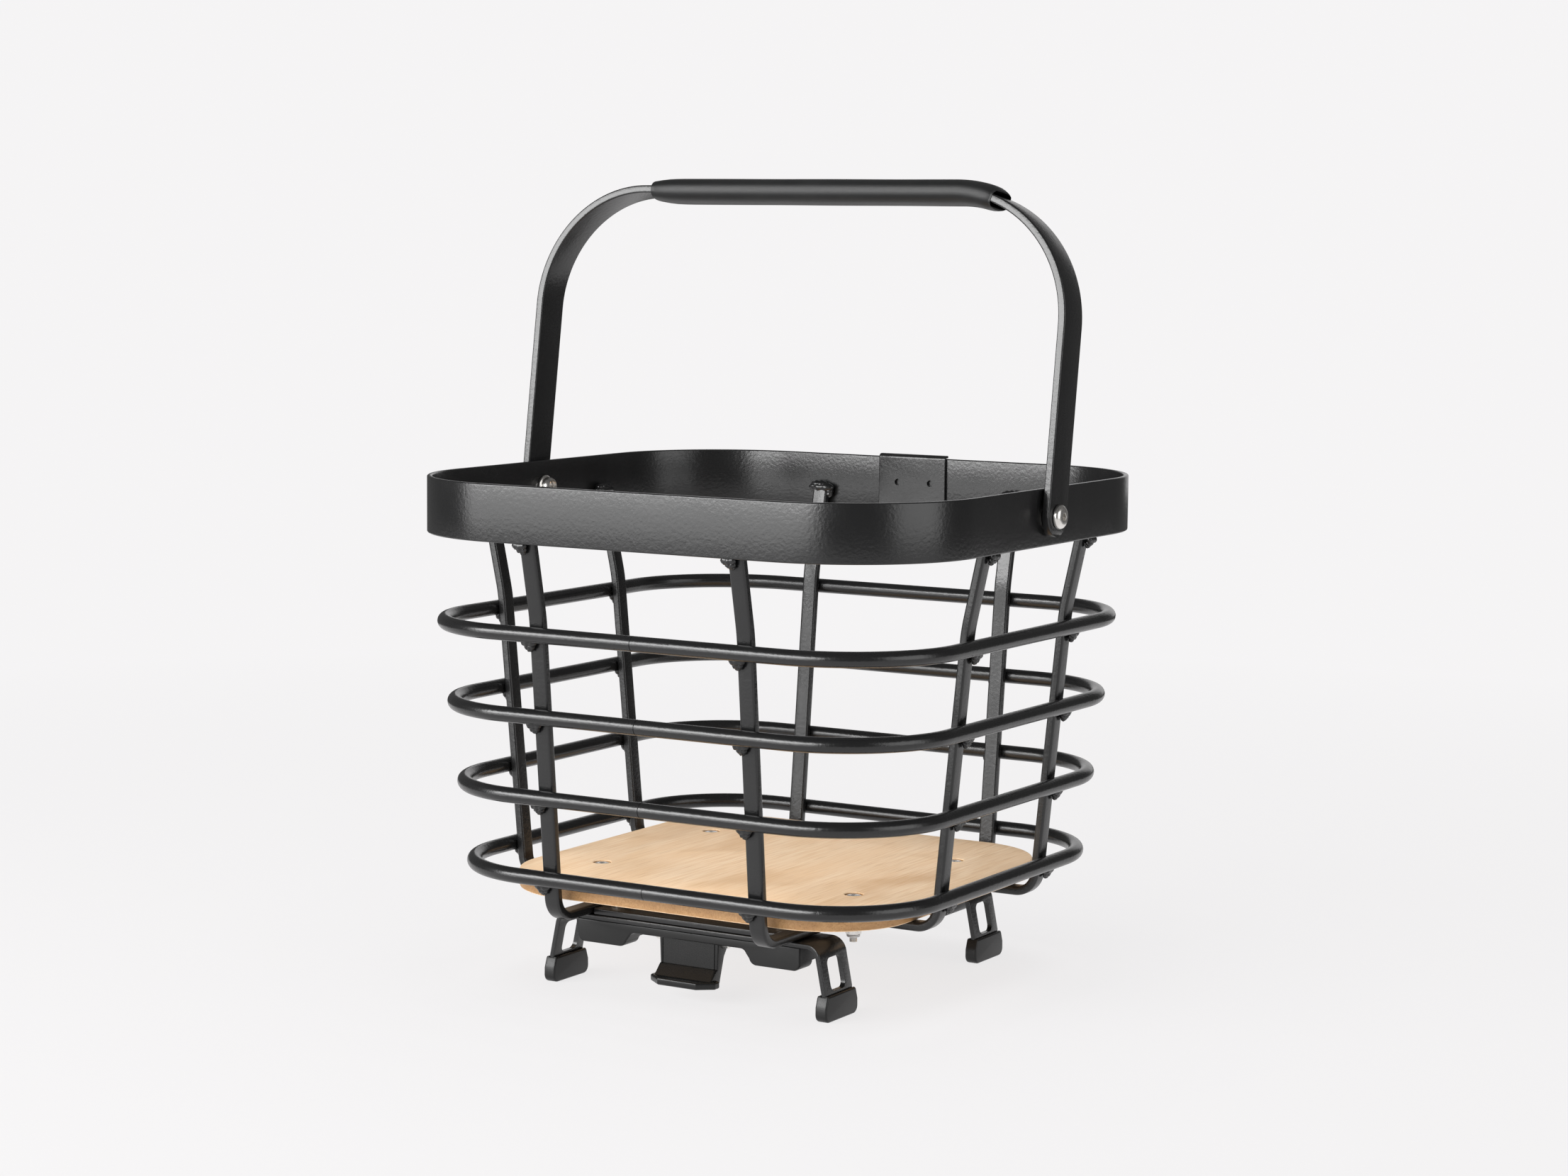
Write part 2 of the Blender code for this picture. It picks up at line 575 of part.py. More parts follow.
def make_pivots(metal, parent):
    outer = BOW_HALF + BOW_THICK / 2 + GAP
    inner = RIM_HALF[0] - RIM_THICK - GAP
    head = outer + PIVOT_HEAD_H
    screw = [(inner - 3.5 * MM, PIVOT_SHANK_R), (outer, PIVOT_SHANK_R), (outer, PIVOT_HEAD_R),
             (outer + 1.2 * MM, PIVOT_HEAD_R), (head - 0.8 * MM, PIVOT_HEAD_R * 0.72), (head, PIVOT_HEAD_R * 0.45)]
    bore = PIVOT_HOLE_R
    nut = [(inner, bore), (inner, 7 * MM), (inner - 1.2 * MM, 7 * MM), (inner - 1.6 * MM, 5.8 * MM),
           (inner - 5 * MM, 5.6 * MM), (inner - 6.2 * MM, 4.6 * MM), (inner - 6.2 * MM, bore), (inner, bore)]
    low, high = RIM_HALF[0] + GAP, BOW_HALF - BOW_THICK / 2 - GAP
    washer = [(low, bore), (high, bore), (high, 8 * MM), (low, 8 * MM), (low, bore)]
    for name, side in (("left", -1), ("right", 1)):
        for kind, profile, steps in (("screw", screw, 20), ("nut", nut, 16), ("washer", washer, 16)):
            placed = [(side * along, radius) for along, radius in profile]
            mesh = turned(f"pivot_{kind}_{name}", placed, "X", steps)
            add_object(f"pivot_{kind}_{name}", mesh, metal, parent, (0, 0, PIVOT_Z))


def make_clip(finish, parent):
    half = CLIP_THICK / 2
    inner = RIM_HALF[1] - RIM_THICK - GAP - half
    top = RIM_TOP + GAP + half
    bend = arc((inner + CLIP_BEND_R, top - CLIP_BEND_R), CLIP_BEND_R, 180, 90, 5)
    path = [(inner, CLIP_END_Z)] + bend + [(CLIP_LIP_Y, top)]
    middle = sum(CLIP_X) / 2
    section = bar_section(CLIP_X[1] - CLIP_X[0], CLIP_THICK, 0.4 * MM)
    clip = add_object("rear_clip", loft("rear_clip", swept_rings(path, section, "YZ")), finish, parent, (middle, 0, 0))
    for i, x in enumerate(CLIP_HOLES_X):
        mesh = turned(f"clip_hole_{i}", [(-3 * MM, CLIP_HOLE_R), (3 * MM, CLIP_HOLE_R)], "Z", 14)
        mesh.transform(Matrix.Translation((x - middle, inner, PIVOT_Z)) @ Matrix.Rotation(math.pi / 2, 4, "X"))
        cut(clip, mesh)


def add_empty(name, place, parent=None):
    empty = bpy.data.objects.new(name, None)
    bpy.context.scene.collection.objects.link(empty)
    empty.location = place
    empty.parent = parent
    return empty


def build():
    clear_scene()
    finish = {name: make_finish(name) for name in FINISHES}
    frame = add_empty("basket_frame", (0, 0, 0))
    handle_axis = add_empty("handle_axis", (0, 0, PIVOT_Z), frame)
    handle_axis.rotation_euler.x = -HANDLE_LEAN
    latch_axis = add_empty("latch_axis", (0, *LATCH_PIVOT), frame)
    make_rim(finish["coated_steel"], frame)
    make_hoops(finish["coated_steel"], frame)
    make_bars(finish["coated_steel"], frame)
    make_board(finish["bamboo"], frame)
    make_board_fasteners(finish["bright_steel"], frame)
    make_brackets(finish["coated_steel"], frame)
    make_foot_caps(finish["rubber"], frame)
    make_spacers(finish["coated_steel"], frame)
    make_front_adapter(finish["moulded_plastic"], frame)
    make_rear_hook(finish["moulded_plastic"], frame)
    make_adapter_screws(finish["bright_steel"], frame)
    make_latch(finish["moulded_plastic"], latch_axis)
    make_latch_pin(finish["bright_steel"], frame)
    make_latch_spring(finish["bright_steel"], frame)
    make_bow(finish["coated_steel"], handle_axis)
    make_grip(finish["grip_foam"], handle_axis)
    make_pivots(finish["bright_steel"], frame)
    make_clip(finish["coated_steel"], frame)


build()
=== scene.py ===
"""Looks for the rack basket: satin coated frame with welds, bamboo floor, soft grip, bright screws, studio.

Metres, +Z up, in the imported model's frame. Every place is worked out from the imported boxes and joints.
"""

import json
import math
import random

import bmesh
import bpy
from mathutils import Matrix, Vector, noise


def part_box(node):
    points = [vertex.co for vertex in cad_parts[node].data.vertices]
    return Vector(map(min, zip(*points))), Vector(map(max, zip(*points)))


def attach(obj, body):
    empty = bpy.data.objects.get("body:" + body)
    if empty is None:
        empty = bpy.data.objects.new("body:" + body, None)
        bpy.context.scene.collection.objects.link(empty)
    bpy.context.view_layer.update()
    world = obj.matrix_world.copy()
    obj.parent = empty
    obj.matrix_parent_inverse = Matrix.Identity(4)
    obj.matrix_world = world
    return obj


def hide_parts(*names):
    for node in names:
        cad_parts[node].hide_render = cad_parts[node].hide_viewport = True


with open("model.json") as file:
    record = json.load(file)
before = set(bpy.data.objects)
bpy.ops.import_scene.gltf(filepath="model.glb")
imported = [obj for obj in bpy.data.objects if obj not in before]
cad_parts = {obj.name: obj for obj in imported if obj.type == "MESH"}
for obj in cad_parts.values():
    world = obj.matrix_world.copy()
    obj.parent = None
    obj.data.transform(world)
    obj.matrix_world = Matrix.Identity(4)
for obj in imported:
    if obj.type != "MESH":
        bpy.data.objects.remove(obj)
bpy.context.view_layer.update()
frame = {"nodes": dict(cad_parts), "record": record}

MM = 0.001
RANDOM = random.Random(7)

JOINTS = {joint["name"]: joint for joint in frame["record"]["behaviour"]["joints"]}
PIVOT = Vector(JOINTS["handle_swing"]["pos_m"])
LATCH_PIVOT = Vector(JOINTS["latch_release"]["pos_m"])
MIDDLE_Y = PIVOT.y

# Sizes that a box can't tell: rod, sheet and bore sizes, and bend and corner radii.
RIM_CORNER = 82 * MM
RIM_THICK = 3 * MM
ROD_R = 4.5 * MM
HOOP_CORNER = 69.3 * MM
HOOP_CORNER_STEP = 1.7 * MM
BAR_WIDE = 10 * MM
BAR_THICK = 5.2 * MM
BAR_BEND_R = 12.8 * MM
BAR_KINK_UP = 9.3 * MM
BOARD_CORNER = 52 * MM
BRACKET_THICK = 3 * MM
LEG_TOP_IN = 3.8 * MM
LEG_BEND_R = 8 * MM
BOW_THICK = 4.6 * MM
BOW_CORNERS = (71 * MM, 76 * MM)
BOW_WIDE = 23 * MM
GRIP_LEFT_X = -103.7 * MM
GRIP_OVER_CORNER = 19.5
GRIP_WIDE = 25.6 * MM
GRIP_THICK = 14.6 * MM
LIP_RAMP_TOP = 10.5 * MM
SHOE_DEEP = 14 * MM
CLIP_THICK = 1.6 * MM
CLIP_BEND_R = 1.8 * MM
CLIP_HOLES_X = (-13.8 * MM, 9.5 * MM)
CLIP_HOLE_R = 2.1 * MM
PIVOT_BORE_R = 4.2 * MM
BOARD_BORE_R = 2.7 * MM
NUT_CORNER_R = 4.6 * MM
LEG_SLOT_HALF = (8 * MM, 9.25 * MM)
LEG_SLOT_R = 3.6 * MM
LEG_SLOT_Z = 25.75 * MM
SHOE_INNER_X = 44 * MM
WEB_UP = 8.7 * MM
SHOE_RELIEF_UP = 4.5 * MM
LEVER_HALF_X = 20 * MM
LIP_HALF_X = 22 * MM
LIP_TALL = 4.5 * MM
PIN_BORE_R = 2.3 * MM
PIN_BORE_HALF = 25.4 * MM
SEAM_X = 17.6 * MM
HANDLE_LEAN = math.radians(8.16)
GAP = 0.3 * MM


# ---------------------------------------------------------------- shapes

def loft(rings, closed=False, capped=True):
    """A mesh through equal rings of points, capped at both ends or joined end to end."""
    bm = bmesh.new()
    loops = [[bm.verts.new(point) for point in ring] for ring in rings]
    count = len(loops[0])
    pairs = list(zip(loops, loops[1:]))
    if closed:
        pairs.append((loops[-1], loops[0]))
    elif capped:
        bm.faces.new(loops[0])
        bm.faces.new(loops[-1])
    for first, second in pairs:
        for i in range(count):
            j = (i + 1) % count
            bm.faces.new((first[i], first[j], second[j], second[i]))
    return finished(bm)


def finished(bm, angle=32):
    bmesh.ops.recalc_face_normals(bm, faces=bm.faces)
    mesh = bpy.data.meshes.new("shape")
    bm.to_mesh(mesh)
    bm.free()
    mesh.shade_smooth()
    mesh.set_sharp_from_angle(angle=math.radians(angle))
    return mesh


def joined(meshes):
    """One mesh from several, each staying a closed solid of its own."""
    bm = bmesh.new()
    for mesh in meshes:
        bm.from_mesh(mesh)
        bpy.data.meshes.remove(mesh)
    return finished(bm, 50)


def arc(centre, radius, start, end, steps):
    """Points on a circle in a plane, angles in degrees."""
    turns = [math.radians(start + (end - start) * i / steps) for i in range(steps + 1)]
    return [(centre[0] + radius * math.cos(a), centre[1] + radius * math.sin(a)) for a in turns]


def rounded_rectangle(half, corner, steps=20):
    x, y = half[0] - corner, half[1] - corner
    points = []
    for i, centre in enumerate(((x, y), (-x, y), (-x, -y), (x, -y))):
        points += arc(centre, corner, 90 * i, 90 * i + 90, steps)
    return points


def oval(wide, thick, power, steps=40):
    """Outline of a rounded oval: power 1 is an ellipse and a smaller one is squarer."""
    points = []
    for i in range(steps):
        a = 2 * math.pi * (i + 0.5) / steps
        c, s = math.cos(a), math.sin(a)
        across = wide / 2 * math.copysign(abs(c) ** power, c)
        points.append((across, thick / 2 * math.copysign(abs(s) ** power, s)))
    return points


def path_normals(path, closed):
    normals = []
    last = len(path) - 1
    for i, point in enumerate(path):
        before = path[i - 1] if i or closed else None
        after = path[(i + 1) % len(path)] if i < last or closed else None
        sides = []
        if before:
            sides.append((Vector(point) - Vector(before)).normalized())
        if after:
            sides.append((Vector(after) - Vector(point)).normalized())
        along = sum(sides, Vector((0, 0))).normalized()
        normals.append(Vector((-along.y, along.x)) / along.dot(sides[0]))
    return normals


def on_plane(plane, a, b, across):
    return {"XZ": (a, across, b), "YZ": (across, a, b), "XY": (a, b, across)}[plane]


def swept_rings(path, section, plane, closed=False):
    """Rings of a section carried along a plane path: its x lies across the plane, its y along the normal."""
    rings = []
    for point, normal in zip(path, path_normals(path, closed)):
        rings.append([on_plane(plane, point[0] + normal.x * out, point[1] + normal.y * out, across)
                      for across, out in section])
    return rings


def capped_sweep(path, section, plane, edge):
    """A swept bar whose two cut ends are slightly rounded."""
    rings = swept_rings(path, section, plane)
    half_x = max(p[0] for p in section)
    half_y = max(p[1] for p in section)
    small = [(x * (1 - edge / half_x), y * (1 - edge / half_y)) for x, y in section]
    inner = swept_rings(path, small, plane)
    return loft([inner[0]] + rings + [inner[-1]])


def plate(outline, low, high, axis, edge=0.0, steps=3):
    """An outline extruded from low to high along an axis, with both rims rounded."""
    order = {"Z": (0, 1, 2), "Y": (0, 2, 1), "X": (2, 0, 1)}[axis]
    normals = path_normals(outline, True)
    area = sum(a[0] * b[1] - b[0] * a[1] for a, b in zip(outline, outline[1:] + outline[:1]))
    side = math.copysign(1, area)
    levels = []
    for i in range(steps + 1):
        turn = math.pi / 2 * i / steps
        levels.append((edge * (1 - math.sin(turn)), edge * (1 - math.cos(turn))))
    heights = [(inset, low + up) for inset, up in levels]
    heights += [(inset, high - up) for inset, up in reversed(levels)]
    rings = []
    for inset, height in heights:
        ring = [(p[0] + side * n.x * inset, p[1] + side * n.y * inset, height)
                for p, n in zip(outline, normals)]
        rings.append([tuple(point[k] for k in order) for point in ring])
    return loft(rings)


def turned(profile, axis, steps=40):
    """A solid of revolution from (distance along, radius) pairs, or a ring if the profile closes."""
    bored = profile[0] == profile[-1]
    rings = []
    for along, radius in profile[:-1] if bored else profile:
        ring = []
        for i in range(steps):
            a = 2 * math.pi * (i + 0.5) / steps
            c, s = radius * math.cos(a), radius * math.sin(a)
            ring.append({"X": (along, c, s), "Y": (c, along, s), "Z": (c, s, along)}[axis])
        rings.append(ring)
    return loft(rings, closed=bored)


def hexagon(radius, first):
    """The corners of a hexagon, the first at an angle in degrees."""
    turns = [math.radians(a) for a in range(first, first + 360, 60)]
    return [(radius * math.cos(a), radius * math.sin(a)) for a in turns]


def rod(half, radius, axis):
    """A plain round bar about the origin, to cut a bore with."""
    return turned([(-half, radius), (half, radius)], axis)


def moved(mesh, place):
    mesh.transform(Matrix.Translation(place))
    return mesh


def shaped(mesh, cutter, operation="DIFFERENCE"):
    """The mesh with another cut from it or joined to it."""
    objects = [bpy.data.objects.new("work", data) for data in (mesh, cutter)]
    for obj in objects:
        bpy.context.scene.collection.objects.link(obj)
    modifier = objects[0].modifiers.new("work", "BOOLEAN")
    modifier.operation = operation
    modifier.object = objects[1]
    graph = bpy.context.evaluated_depsgraph_get()
    result = bpy.data.meshes.new_from_object(objects[0].evaluated_get(graph))
    for obj in objects:
        bpy.data.objects.remove(obj)
    result.shade_smooth()
    result.set_sharp_from_angle(angle=math.radians(32))
    return result


def piece(name, mesh, material, body, place=(0, 0, 0), nodes=(), edge=0.0):
    """An object that rides on a body and stands for some CAD nodes. An edge radius adds a fine bevel."""
    obj = bpy.data.objects.new(name, mesh)
    bpy.context.scene.collection.objects.link(obj)
    obj.location = place
    mesh.materials.clear()
    mesh.materials.append(material)
    if edge:
        bevel = obj.modifiers.new("edge", "BEVEL")
        bevel.width = edge
        bevel.segments = 2
        bevel.limit_method = "ANGLE"
        bevel.angle_limit = math.radians(35)
        bevel.use_clamp_overlap = True
    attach(obj, body)
    if nodes:
        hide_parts(*nodes)
    return obj


def middle(node):
    low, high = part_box(node)
    return (Vector(low) + Vector(high)) / 2


def half_size(node):
    low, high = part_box(node)
    return (Vector(high) - Vector(low)) / 2


# ---------------------------------------------------------------- materials

class Nodes:
    """Short names for building one material's node tree."""

    def __init__(self, name):
        self.material = bpy.data.materials.new(name)
        self.material.use_nodes = True
        self.tree = self.material.node_tree
        self.shader = self.tree.nodes["Principled BSDF"]

    def add(self, kind, links=None, **settings):
        node = self.tree.nodes.new("ShaderNode" + kind)
        for key, value in settings.items():
            setattr(node, key, value)
        for socket, source in (links or {}).items():
            self.put(node.inputs[socket], source)
        return node

    def put(self, socket, source):
        if isinstance(source, bpy.types.NodeSocket):
            self.tree.links.new(source, socket)
        else:
            socket.default_value = source

    def set(self, **values):
        for name, value in values.items():
            self.put(self.shader.inputs[name.replace("_", " ").title()], value)

    def place(self, scale=(1, 1, 1), turn=(0, 0, 0)):
        coords = self.add("TexCoord").outputs["Object"]
        return self.add("Mapping", {"Vector": coords, "Scale": scale, "Rotation": turn}).outputs["Vector"]

    def noise(self, vector, scale, detail=4.0, rough=0.5, warp=0.0):
        return self.add("TexNoise", {"Vector": vector, "Scale": scale, "Detail": detail, "Roughness": rough,
                                     "Distortion": warp}).outputs["Fac"]

    def ramp(self, factor, stops):
        node = self.add("ValToRGB", {"Fac": factor})
        ramp = node.color_ramp
        while len(ramp.elements) < len(stops):
            ramp.elements.new(0.5)
        for element, (position, value) in zip(ramp.elements, stops):
            element.position = position
            element.color = (*value, 1) if isinstance(value, tuple) else (value, value, value, 1)
        return node.outputs["Color"]

    def span(self, factor, low, high, start=0.0, end=1.0):
        return self.add("MapRange", {"Value": factor, "From Min": start, "From Max": end, "To Min": low,
                                     "To Max": high}).outputs["Result"]

    def blend(self, factor, first, second, mode="MIX"):
        node = self.add("Mix", data_type="RGBA", blend_type=mode)
        for socket, source in (("Factor_Float", factor), ("A_Color", first), ("B_Color", second)):
            found = next(s for s in node.inputs if s.identifier == socket)
            self.put(found, (*source, 1) if isinstance(source, tuple) and len(source) == 3 else source)
        return next(s for s in node.outputs if s.identifier == "Result_Color")

    def glow(self, colour):
        return self.add("Emission", {"Color": (*colour, 1.0), "Strength": 1.0}).outputs[0]

    def finish(self, surface):
        """Shows this shader instead of the plain surface."""
        output = next(node for node in self.tree.nodes if node.type == "OUTPUT_MATERIAL")
        self.tree.links.new(surface, output.inputs["Surface"])

    def maths(self, operation, first, second=0.0):
        node = self.add("Math", operation=operation)
        self.put(node.inputs[0], first)
        self.put(node.inputs[1], second)
        return node.outputs[0]

    def bump(self, height, strength, distance, before=None):
        links = {"Height": height, "Strength": strength, "Distance": distance}
        if before:
            links["Normal"] = before
        return self.add("Bump", links).outputs["Normal"]


def coated_metal(name, tone=0.007, gloss=0.24):
    """Satin powder coat: orange-peel bump, faint cloudiness and fine specks."""
    n = Nodes(name)
    where = n.place()
    peel = n.noise(where, 520, 2.0, 0.5)
    fine = n.noise(where, 3200, 2.0, 0.5)
    cloud = n.noise(where, 22, 3.0, 0.6)
    speck = n.span(n.noise(where, 1500, 1.0, 0.4), 0.0, 1.0, 0.74, 0.78)
    dark, light = (tone * 0.86, tone * 0.87, tone * 0.9), (tone * 1.12, tone * 1.12, tone * 1.15)
    base = n.ramp(cloud, ((0.3, dark), (0.7, light)))
    colour = n.blend(n.maths("MULTIPLY", speck, 0.12), base, (tone * 3.2, tone * 3.2, tone * 3.2))
    rough = n.maths("ADD", n.span(cloud, gloss - 0.05, gloss + 0.06), n.span(fine, -0.03, 0.04))
    normal = n.bump(peel, 0.42, 0.00026, n.bump(fine, 0.14, 0.00008))
    n.set(Base_Color=colour, Roughness=rough, Metallic=0.0, Normal=normal)
    n.shader.inputs["Specular IOR Level"].default_value = 0.55
    return n.material


def bright_steel(name):
    """Stainless screws: turned rings of light, fine scratches and slightly warm tone."""
    n = Nodes(name)
    where = n.place()
    scratch = n.noise(n.place((1, 1, 14)), 900, 3.0, 0.6)
    cloud = n.noise(where, 160, 2.0, 0.5)
    colour = n.ramp(cloud, ((0.25, (0.66, 0.64, 0.61)), (0.75, (0.86, 0.84, 0.81))))
    rough = n.maths("ADD", n.span(scratch, 0.18, 0.34), n.span(cloud, -0.03, 0.05))
    n.set(Base_Color=colour, Roughness=rough, Metallic=1.0, Normal=n.bump(scratch, 0.12, 0.00005))
    return n.material


def bamboo(name, edge=False):
    """Pressed bamboo: long fine fibres front to back, strip joints, soft node smudges; the edge copy is
    warmer, like cut bamboo, and darker, which is painted shade on the board's sides.
    """
    n = Nodes(name)
    fibre = n.noise(n.place((1, 0.035, 1)), 620, 5.0, 0.62, 0.2)
    pore = n.noise(n.place((1, 0.02, 1)), 1500, 2.0, 0.5)
    strip = n.noise(n.place((1, 0.12, 1)), 46, 1.0, 0.4)
    smudge = n.noise(n.place((1, 0.7, 1)), 17, 2.0, 0.5, 0.4)
    pale, warm, brown = (0.88, 0.67, 0.46), (0.78, 0.52, 0.30), (0.56, 0.31, 0.13)
    # Edge copy: warmer like cut bamboo, and darker as painted shade on the faces turned sideways.
    if edge:
        pale, warm, brown = (0.52, 0.30, 0.13), (0.40, 0.21, 0.08), (0.24, 0.11, 0.04)
    base = n.blend(n.span(fibre, 0.0, 1.0, 0.35, 0.68), pale, warm)
    base = n.blend(n.span(strip, 0.0, 0.45, 0.42, 0.62), base, warm)
    base = n.blend(n.span(smudge, 0.0, 0.55, 0.54, 0.74), base, brown)
    base = n.blend(n.span(pore, 0.0, 0.6, 0.56, 0.70), base, brown)
    rough = n.maths("ADD", n.span(fibre, 0.46, 0.60), n.span(smudge, -0.03, 0.03))
    normal = n.bump(fibre, 0.16, 0.00012, n.bump(pore, 0.10, 0.00010))
    n.set(Base_Color=base, Roughness=rough, Metallic=0.0, Normal=normal)
    return n.material


def moulded(name, tone, gloss, grain):
    """Moulded plastic or rubber: spark-eroded grain, faint flow clouds and rubbed patches."""
    n = Nodes(name)
    where = n.place()
    cloud = n.noise(where, 35, 3.0, 0.6)
    texture = n.noise(where, grain, 3.0, 0.6)
    dust = n.span(n.noise(where, 900, 2.0, 0.5), 0.0, 1.0, 0.66, 0.80)
    base = n.ramp(cloud, ((0.3, (tone * 0.85,) * 3), (0.7, (tone * 1.12,) * 3)))
    colour = n.blend(n.maths("MULTIPLY", dust, 0.10), base, (tone * 3,) * 3)
    rough = n.maths("ADD", n.span(cloud, gloss - 0.05, gloss + 0.05), n.span(texture, -0.05, 0.05))
    n.set(Base_Color=colour, Roughness=rough, Metallic=0.0, Normal=n.bump(texture, 0.25, 0.00012))
    n.shader.inputs["Specular IOR Level"].default_value = 0.36
    return n.material


def grip_skin(name):
    """Soft-touch sleeve: tight skin with fine lengthwise creases and a faint sheen."""
    n = Nodes(name)
    where = n.place()
    crease = n.noise(n.place((0.35, 1, 1)), 900, 4.0, 0.6)
    cell = n.noise(where, 2600, 2.0, 0.5)
    cloud = n.noise(where, 30, 3.0, 0.6)
    base = n.ramp(cloud, ((0.3, (0.0050, 0.0052, 0.0054)), (0.7, (0.0090, 0.0092, 0.0094))))
    rough = n.maths("ADD", n.span(cloud, 0.40, 0.50), n.span(crease, -0.05, 0.06))
    normal = n.bump(crease, 0.22, 0.00016, n.bump(cell, 0.12, 0.00006))
    n.set(Base_Color=base, Roughness=rough, Metallic=0.0, Normal=normal)
    n.shader.inputs["Specular IOR Level"].default_value = 0.34
    n.shader.inputs["Sheen Weight"].default_value = 0.02
    n.shader.inputs["Sheen Roughness"].default_value = 0.5
    return n.material


# ---------------------------------------------------------------- frame

def make_rim(material):
    half, centre = half_size("rim_band"), middle("rim_band")
    sheet = RIM_THICK / 2
    path = rounded_rectangle((half.x - sheet, half.y - sheet), RIM_CORNER - sheet, 28)
    section = rounded_rectangle((half.z, sheet), 0.9 * MM, 4)
    mesh = loft(swept_rings(path, section, "XY", closed=True), closed=True)
    for side in (-1, 1):
        hole = rod(6 * MM, PIVOT_BORE_R, "X")
        mesh = shaped(mesh, moved(hole, (side * (half.x - sheet), 0, PIVOT.z - centre.z)))
    piece("rim", mesh, material, "frame", centre, ["rim_band"])


def tube_rings(path, radius, sides=28):
    """Round rings along a closed level path. Each path entry holds x, y and a change of radius."""
    normals = path_normals([p[:2] for p in path], True)
    rings = []
    for (x, y, dip), normal in zip(path, normals):
        ring = []
        for i in range(sides):
            a = 2 * math.pi * i / sides
            out, up = (radius + dip) * math.cos(a), (radius + dip) * math.sin(a)
            ring.append((x + normal.x * out, y + normal.y * out, up))
        rings.append(ring)
    return rings


def hoop_half(index):
    half = half_size(f"hoop_{index + 1}")
    return half.x - ROD_R, half.y - ROD_R


def make_hoops(material):
    """Four rod hoops, each closed by a fine butt seam in the middle of the front."""
    for i in range(4):
        name = f"hoop_{i + 1}"
        half = hoop_half(i)
        outline = rounded_rectangle(half, HOOP_CORNER - HOOP_CORNER_STEP * i, 24)
        path = [(x, y, 0.0) for x, y in outline]
        front = len(path) * 3 // 4
        seam = [(x, -half[1], dip) for x, dip in
                ((-0.9 * MM, 0.0), (-0.35 * MM, 0.0), (-0.12 * MM, -0.35 * MM), (0.12 * MM, -0.35 * MM),
                 (0.35 * MM, 0.0), (0.9 * MM, 0.0))]
        path[front:front] = seam
        mesh = loft(tube_rings(path, ROD_R), closed=True)
        piece(f"{name}_rod", mesh, material, "frame", middle(name), [name])


def bar_shape(node, hoop_reach, rim_reach):
    """Path of a U-bar in its own plane, from the boxes of the bar, hoops and rim."""
    hoops = [middle(f"hoop_{i + 1}") for i in range(4)]
    slope = (hoop_reach[0] - hoop_reach[3]) / (hoops[0].z - hoops[3].z)
    low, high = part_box(node)
    half = BAR_THICK / 2
    touch = hoop_reach[0] - (ROD_R + GAP + half) * math.hypot(1, slope)
    lean = math.degrees(math.atan(slope))
    centre_z = low[2] + half + BAR_BEND_R
    kink_z = hoops[0].z + BAR_KINK_UP

    def side_at(z):
        return touch + (z - hoops[0].z) * slope

    bend_x = side_at(centre_z) - BAR_BEND_R * math.hypot(1, slope)
    right = arc((bend_x, centre_z), BAR_BEND_R, -90, -lean, 16)
    top = rim_reach - RIM_THICK - GAP - half
    right += eased([right[-1], (side_at(kink_z), kink_z), (top, high[2] - 0.3 * MM)], 6 * MM)
    return [(-a, b) for a, b in reversed(right)] + right


def eased(points, reach):
    """A polyline with each inner corner replaced by a short curve. Leaves out the first point."""
    result = []
    for before, corner, after in zip(points, points[1:], points[2:]):
        a, b, c = Vector(before), Vector(corner), Vector(after)
        start = b + (a - b).normalized() * reach
        end = b + (c - b).normalized() * reach
        for i in range(5):
            t = i / 4
            result.append(tuple(start.lerp(b, t).lerp(b.lerp(end, t), t)))
    return result + [points[-1]]


def make_bars(material):
    section = rounded_rectangle((BAR_WIDE / 2, BAR_THICK / 2), 1.5 * MM, 5)
    rim = half_size("rim_band")
    reach = [hoop_half(i) for i in range(4)]
    for node in ("side_bar_left", "side_bar_right", "cross_bar_front", "cross_bar_rear"):
        across = node.startswith("cross")
        index = 0 if across else 1
        path = bar_shape(node, [r[index] for r in reach], rim[index])
        mesh = capped_sweep(path, section, "XZ" if across else "YZ", 0.5 * MM)
        spot = middle(node)
        place = (0, spot.y, 0) if across else (spot.x, MIDDLE_Y, 0)
        piece(f"{node}_flat", mesh, material, "frame", place, [node])


# Weld runs in millimetres: way in, way down, length, radius, height over radius. At the rim the third
# number is the share of the sideways shift.
HOOP_BEADS = ((0, 4.4, 10.6, 2.5, 1.2), (0.9, 6.9, 7.0, 2.1, 1.15), (1.5, 9.0, 3.8, 1.3, 1.0))
RIM_BEADS = ((2.8, 1.0, 1.0, 9.5, 2.2, 1.1), (3.9, 3.2, 0.7, 6.8, 1.9, 1.1), (4.8, 5.0, 0.5, 4.0, 1.3, 1.0))


def bead(centre, along, length, radius, squash=1.0):
    """One run of weld metal: a capsule with overlapping ripples and a slightly uneven surface."""
    along = Vector(along).normalized()
    side = along.cross(Vector((0, 0, 1)))
    side = side.normalized() if side.length > 0.1 else Vector((1, 0, 0))
    up = side.cross(along)
    rings = []
    steps = 14
    shift = RANDOM.random() * 20
    for i in range(steps + 1):
        t = -1 + 2 * i / steps
        swell = max(0.04, 1 - abs(t) ** 3.2) ** 0.5
        ripple = 1 + 0.09 * math.sin(t * 10 + shift)
        ring = []
        for k in range(14):
            a = 2 * math.pi * k / 14
            lump = 1 + 0.16 * noise.noise(Vector((t * 2 + shift, math.cos(a), math.sin(a))))
            r = radius * swell * ripple * lump
            across = side * (r * math.cos(a)) + up * (r * squash * math.sin(a))
            ring.append(tuple(Vector(centre) + along * (t * length / 2) + across))
        rings.append(ring)
    return loft(rings)


